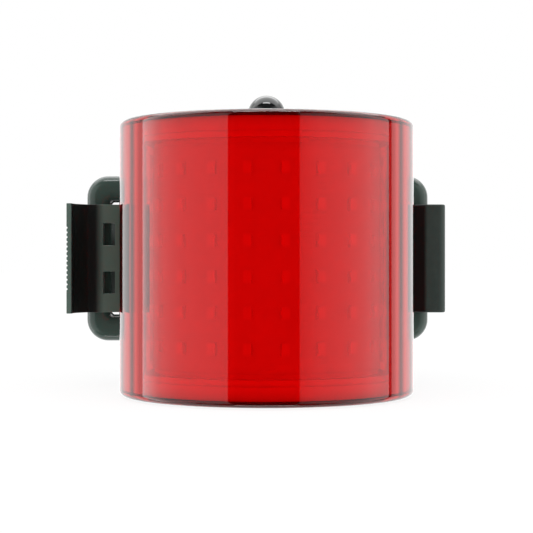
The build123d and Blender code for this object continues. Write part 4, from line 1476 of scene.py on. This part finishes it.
class REARLIGHT_OT_stage(bpy.types.Operator):
    """Make the floor, the light and the camera"""

    bl_idname = "rearlight.stage"
    bl_label = "Make the stage"

    def softbox(self, name, place, width, height, glow):
        """A flat light at a place, facing the lens."""
        lamp = bpy.data.lights.new(name, "AREA")
        lamp.shape = "RECTANGLE"
        lamp.size = width
        lamp.size_y = height
        lamp.energy = glow * width * height * math.pi
        holder = bpy.data.objects.new(name, lamp)
        holder.location = place
        holder.rotation_euler = (MIDDLE - place).to_track_quat("-Z", "Y").to_euler()
        holder.visible_camera = False
        holder.visible_glossy = False
        bpy.context.scene.collection.objects.link(holder)

    def lights(self, stage):
        """A wide light at each side and a strip above."""
        reach = 0.5
        height = 0.8
        first, last = math.radians(27.0), math.radians(97.0)
        for name, side in (("Left", -1), ("Right", 1)):
            ends = []
            for turn in (first, last):
                across = side * reach * math.sin(turn)
                ends.append(Vector((across, LENS_Y - reach * math.cos(turn), 0.0)))
            place = (ends[0] + ends[1]) / 2
            width = (ends[1] - ends[0]).length
            glow = getattr(stage, name.lower() + "_glow") * stage.lamp_share
            self.softbox(f"{name} light", place, width, height, glow)
        lift = math.radians(74.0)
        strip_width = 0.5
        strip_depth = 0.07
        top = Vector((0.0, LENS_Y - reach * math.cos(lift), reach * math.sin(lift)))
        self.softbox("Top light", top, strip_width, strip_depth, stage.top_glow)

    def floor(self):
        """A pale floor just under the lower cap. It shows from above only and throws no light back."""
        size = 1.6
        level = CAD_BOX[0][2] - 0.2 * MM
        corners = [(-size, -size, level), (size, -size, level), (size, size, level), (-size, size, level)]
        mesh = bpy.data.meshes.new("floor")
        mesh.from_pydata(corners, [], [(0, 1, 2, 3)])
        pale = bpy.data.materials.new("pale_floor")
        pale.use_nodes = True
        graph = Graph(pale.node_tree)
        shader = pale.node_tree.nodes["Principled BSDF"]
        shader.inputs["Base Color"].default_value = (0.82, 0.82, 0.82, 1.0)
        shader.inputs["Roughness"].default_value = 0.9
        values = {"Color": (1.0, 1.0, 1.0, 1.0), "Strength": 1.03}
        glow = graph.add("ShaderNodeEmission", None, values)
        seen = graph.number("ShaderNodeLightPath", output="Is Camera Ray") * 0.85
        values = {0: seen, 1: shader.outputs[0], 2: glow.outputs[0]}
        lit = graph.add("ShaderNodeMixShader", None, values)
        clear = graph.add("ShaderNodeBsdfTransparent")
        below = graph.add("ShaderNodeNewGeometry").outputs["Backfacing"]
        values = {0: below, 1: lit.outputs[0], 2: clear.outputs[0]}
        whole = graph.add("ShaderNodeMixShader", None, values)
        graph.feed(pale.node_tree.nodes["Material Output"].inputs[0], whole.outputs[0])
        mesh.materials.append(pale)
        floor = bpy.data.objects.new("floor", mesh)
        floor.visible_diffuse = False
        floor.visible_shadow = False
        floor.visible_glossy = False
        floor.visible_transmission = False
        bpy.context.scene.collection.objects.link(floor)

    def execute(self, context):
        stage = context.scene.rear_light_stage
        self.lights(stage)
        context.scene.world = studio_world(stage)
        self.floor()
        camera = bpy.data.cameras.new("Camera")
        camera.lens = stage.focal
        camera.sensor_width = 36.0
        camera.clip_start = 0.01
        camera.shift_y = CAMERA_SHIFT
        holder = bpy.data.objects.new("Camera", camera)
        holder.location = (0.0, LENS_Y - stage.distance, 0.0)
        holder.rotation_euler = (math.pi / 2, 0.0, 0.0)
        context.scene.collection.objects.link(holder)
        context.scene.camera = holder
        context.scene.view_settings.view_transform = "Standard"
        return {"FINISHED"}


class REARLIGHT_PT_panel(bpy.types.Panel):
    """Lists the actions and the settings"""

    bl_label = "Rear Light"
    bl_idname = "REARLIGHT_PT_panel"
    bl_space_type = "VIEW_3D"
    bl_region_type = "UI"
    bl_category = "Rear Light"

    def draw(self, context):
        for name in ACTIONS:
            self.layout.operator(f"rearlight.{name}")
        for group in ("rear_light_sizes", "rear_light_colours", "rear_light_stage"):
            settings = getattr(context.scene, group)
            for name in settings.__annotations__:
                self.layout.prop(settings, name)


ACTIONS = (
    "finishes", "nodes", "lens", "seals", "button", "hook",
    "strap", "saddle", "flap", "leds", "screws", "stage",
)

CLASSES = (
    RearLightColours,
    RearLightSizes,
    RearLightStage,
    REARLIGHT_OT_finishes,
    REARLIGHT_OT_nodes,
    REARLIGHT_OT_lens,
    REARLIGHT_OT_seals,
    REARLIGHT_OT_button,
    REARLIGHT_OT_hook,
    REARLIGHT_OT_strap,
    REARLIGHT_OT_saddle,
    REARLIGHT_OT_flap,
    REARLIGHT_OT_leds,
    REARLIGHT_OT_screws,
    REARLIGHT_OT_stage,
    REARLIGHT_PT_panel,
)


def register():
    for kind in CLASSES:
        bpy.utils.register_class(kind)
    bpy.types.Scene.rear_light_colours = bpy.props.PointerProperty(type=RearLightColours)
    bpy.types.Scene.rear_light_sizes = bpy.props.PointerProperty(type=RearLightSizes)
    bpy.types.Scene.rear_light_stage = bpy.props.PointerProperty(type=RearLightStage)


def unregister():
    del bpy.types.Scene.rear_light_stage
    del bpy.types.Scene.rear_light_sizes
    del bpy.types.Scene.rear_light_colours
    for kind in reversed(CLASSES):
        bpy.utils.unregister_class(kind)


def main():
    register()
    for name in ACTIONS:
        getattr(bpy.ops.rearlight, name)()


if __name__ == "__main__":
    main()
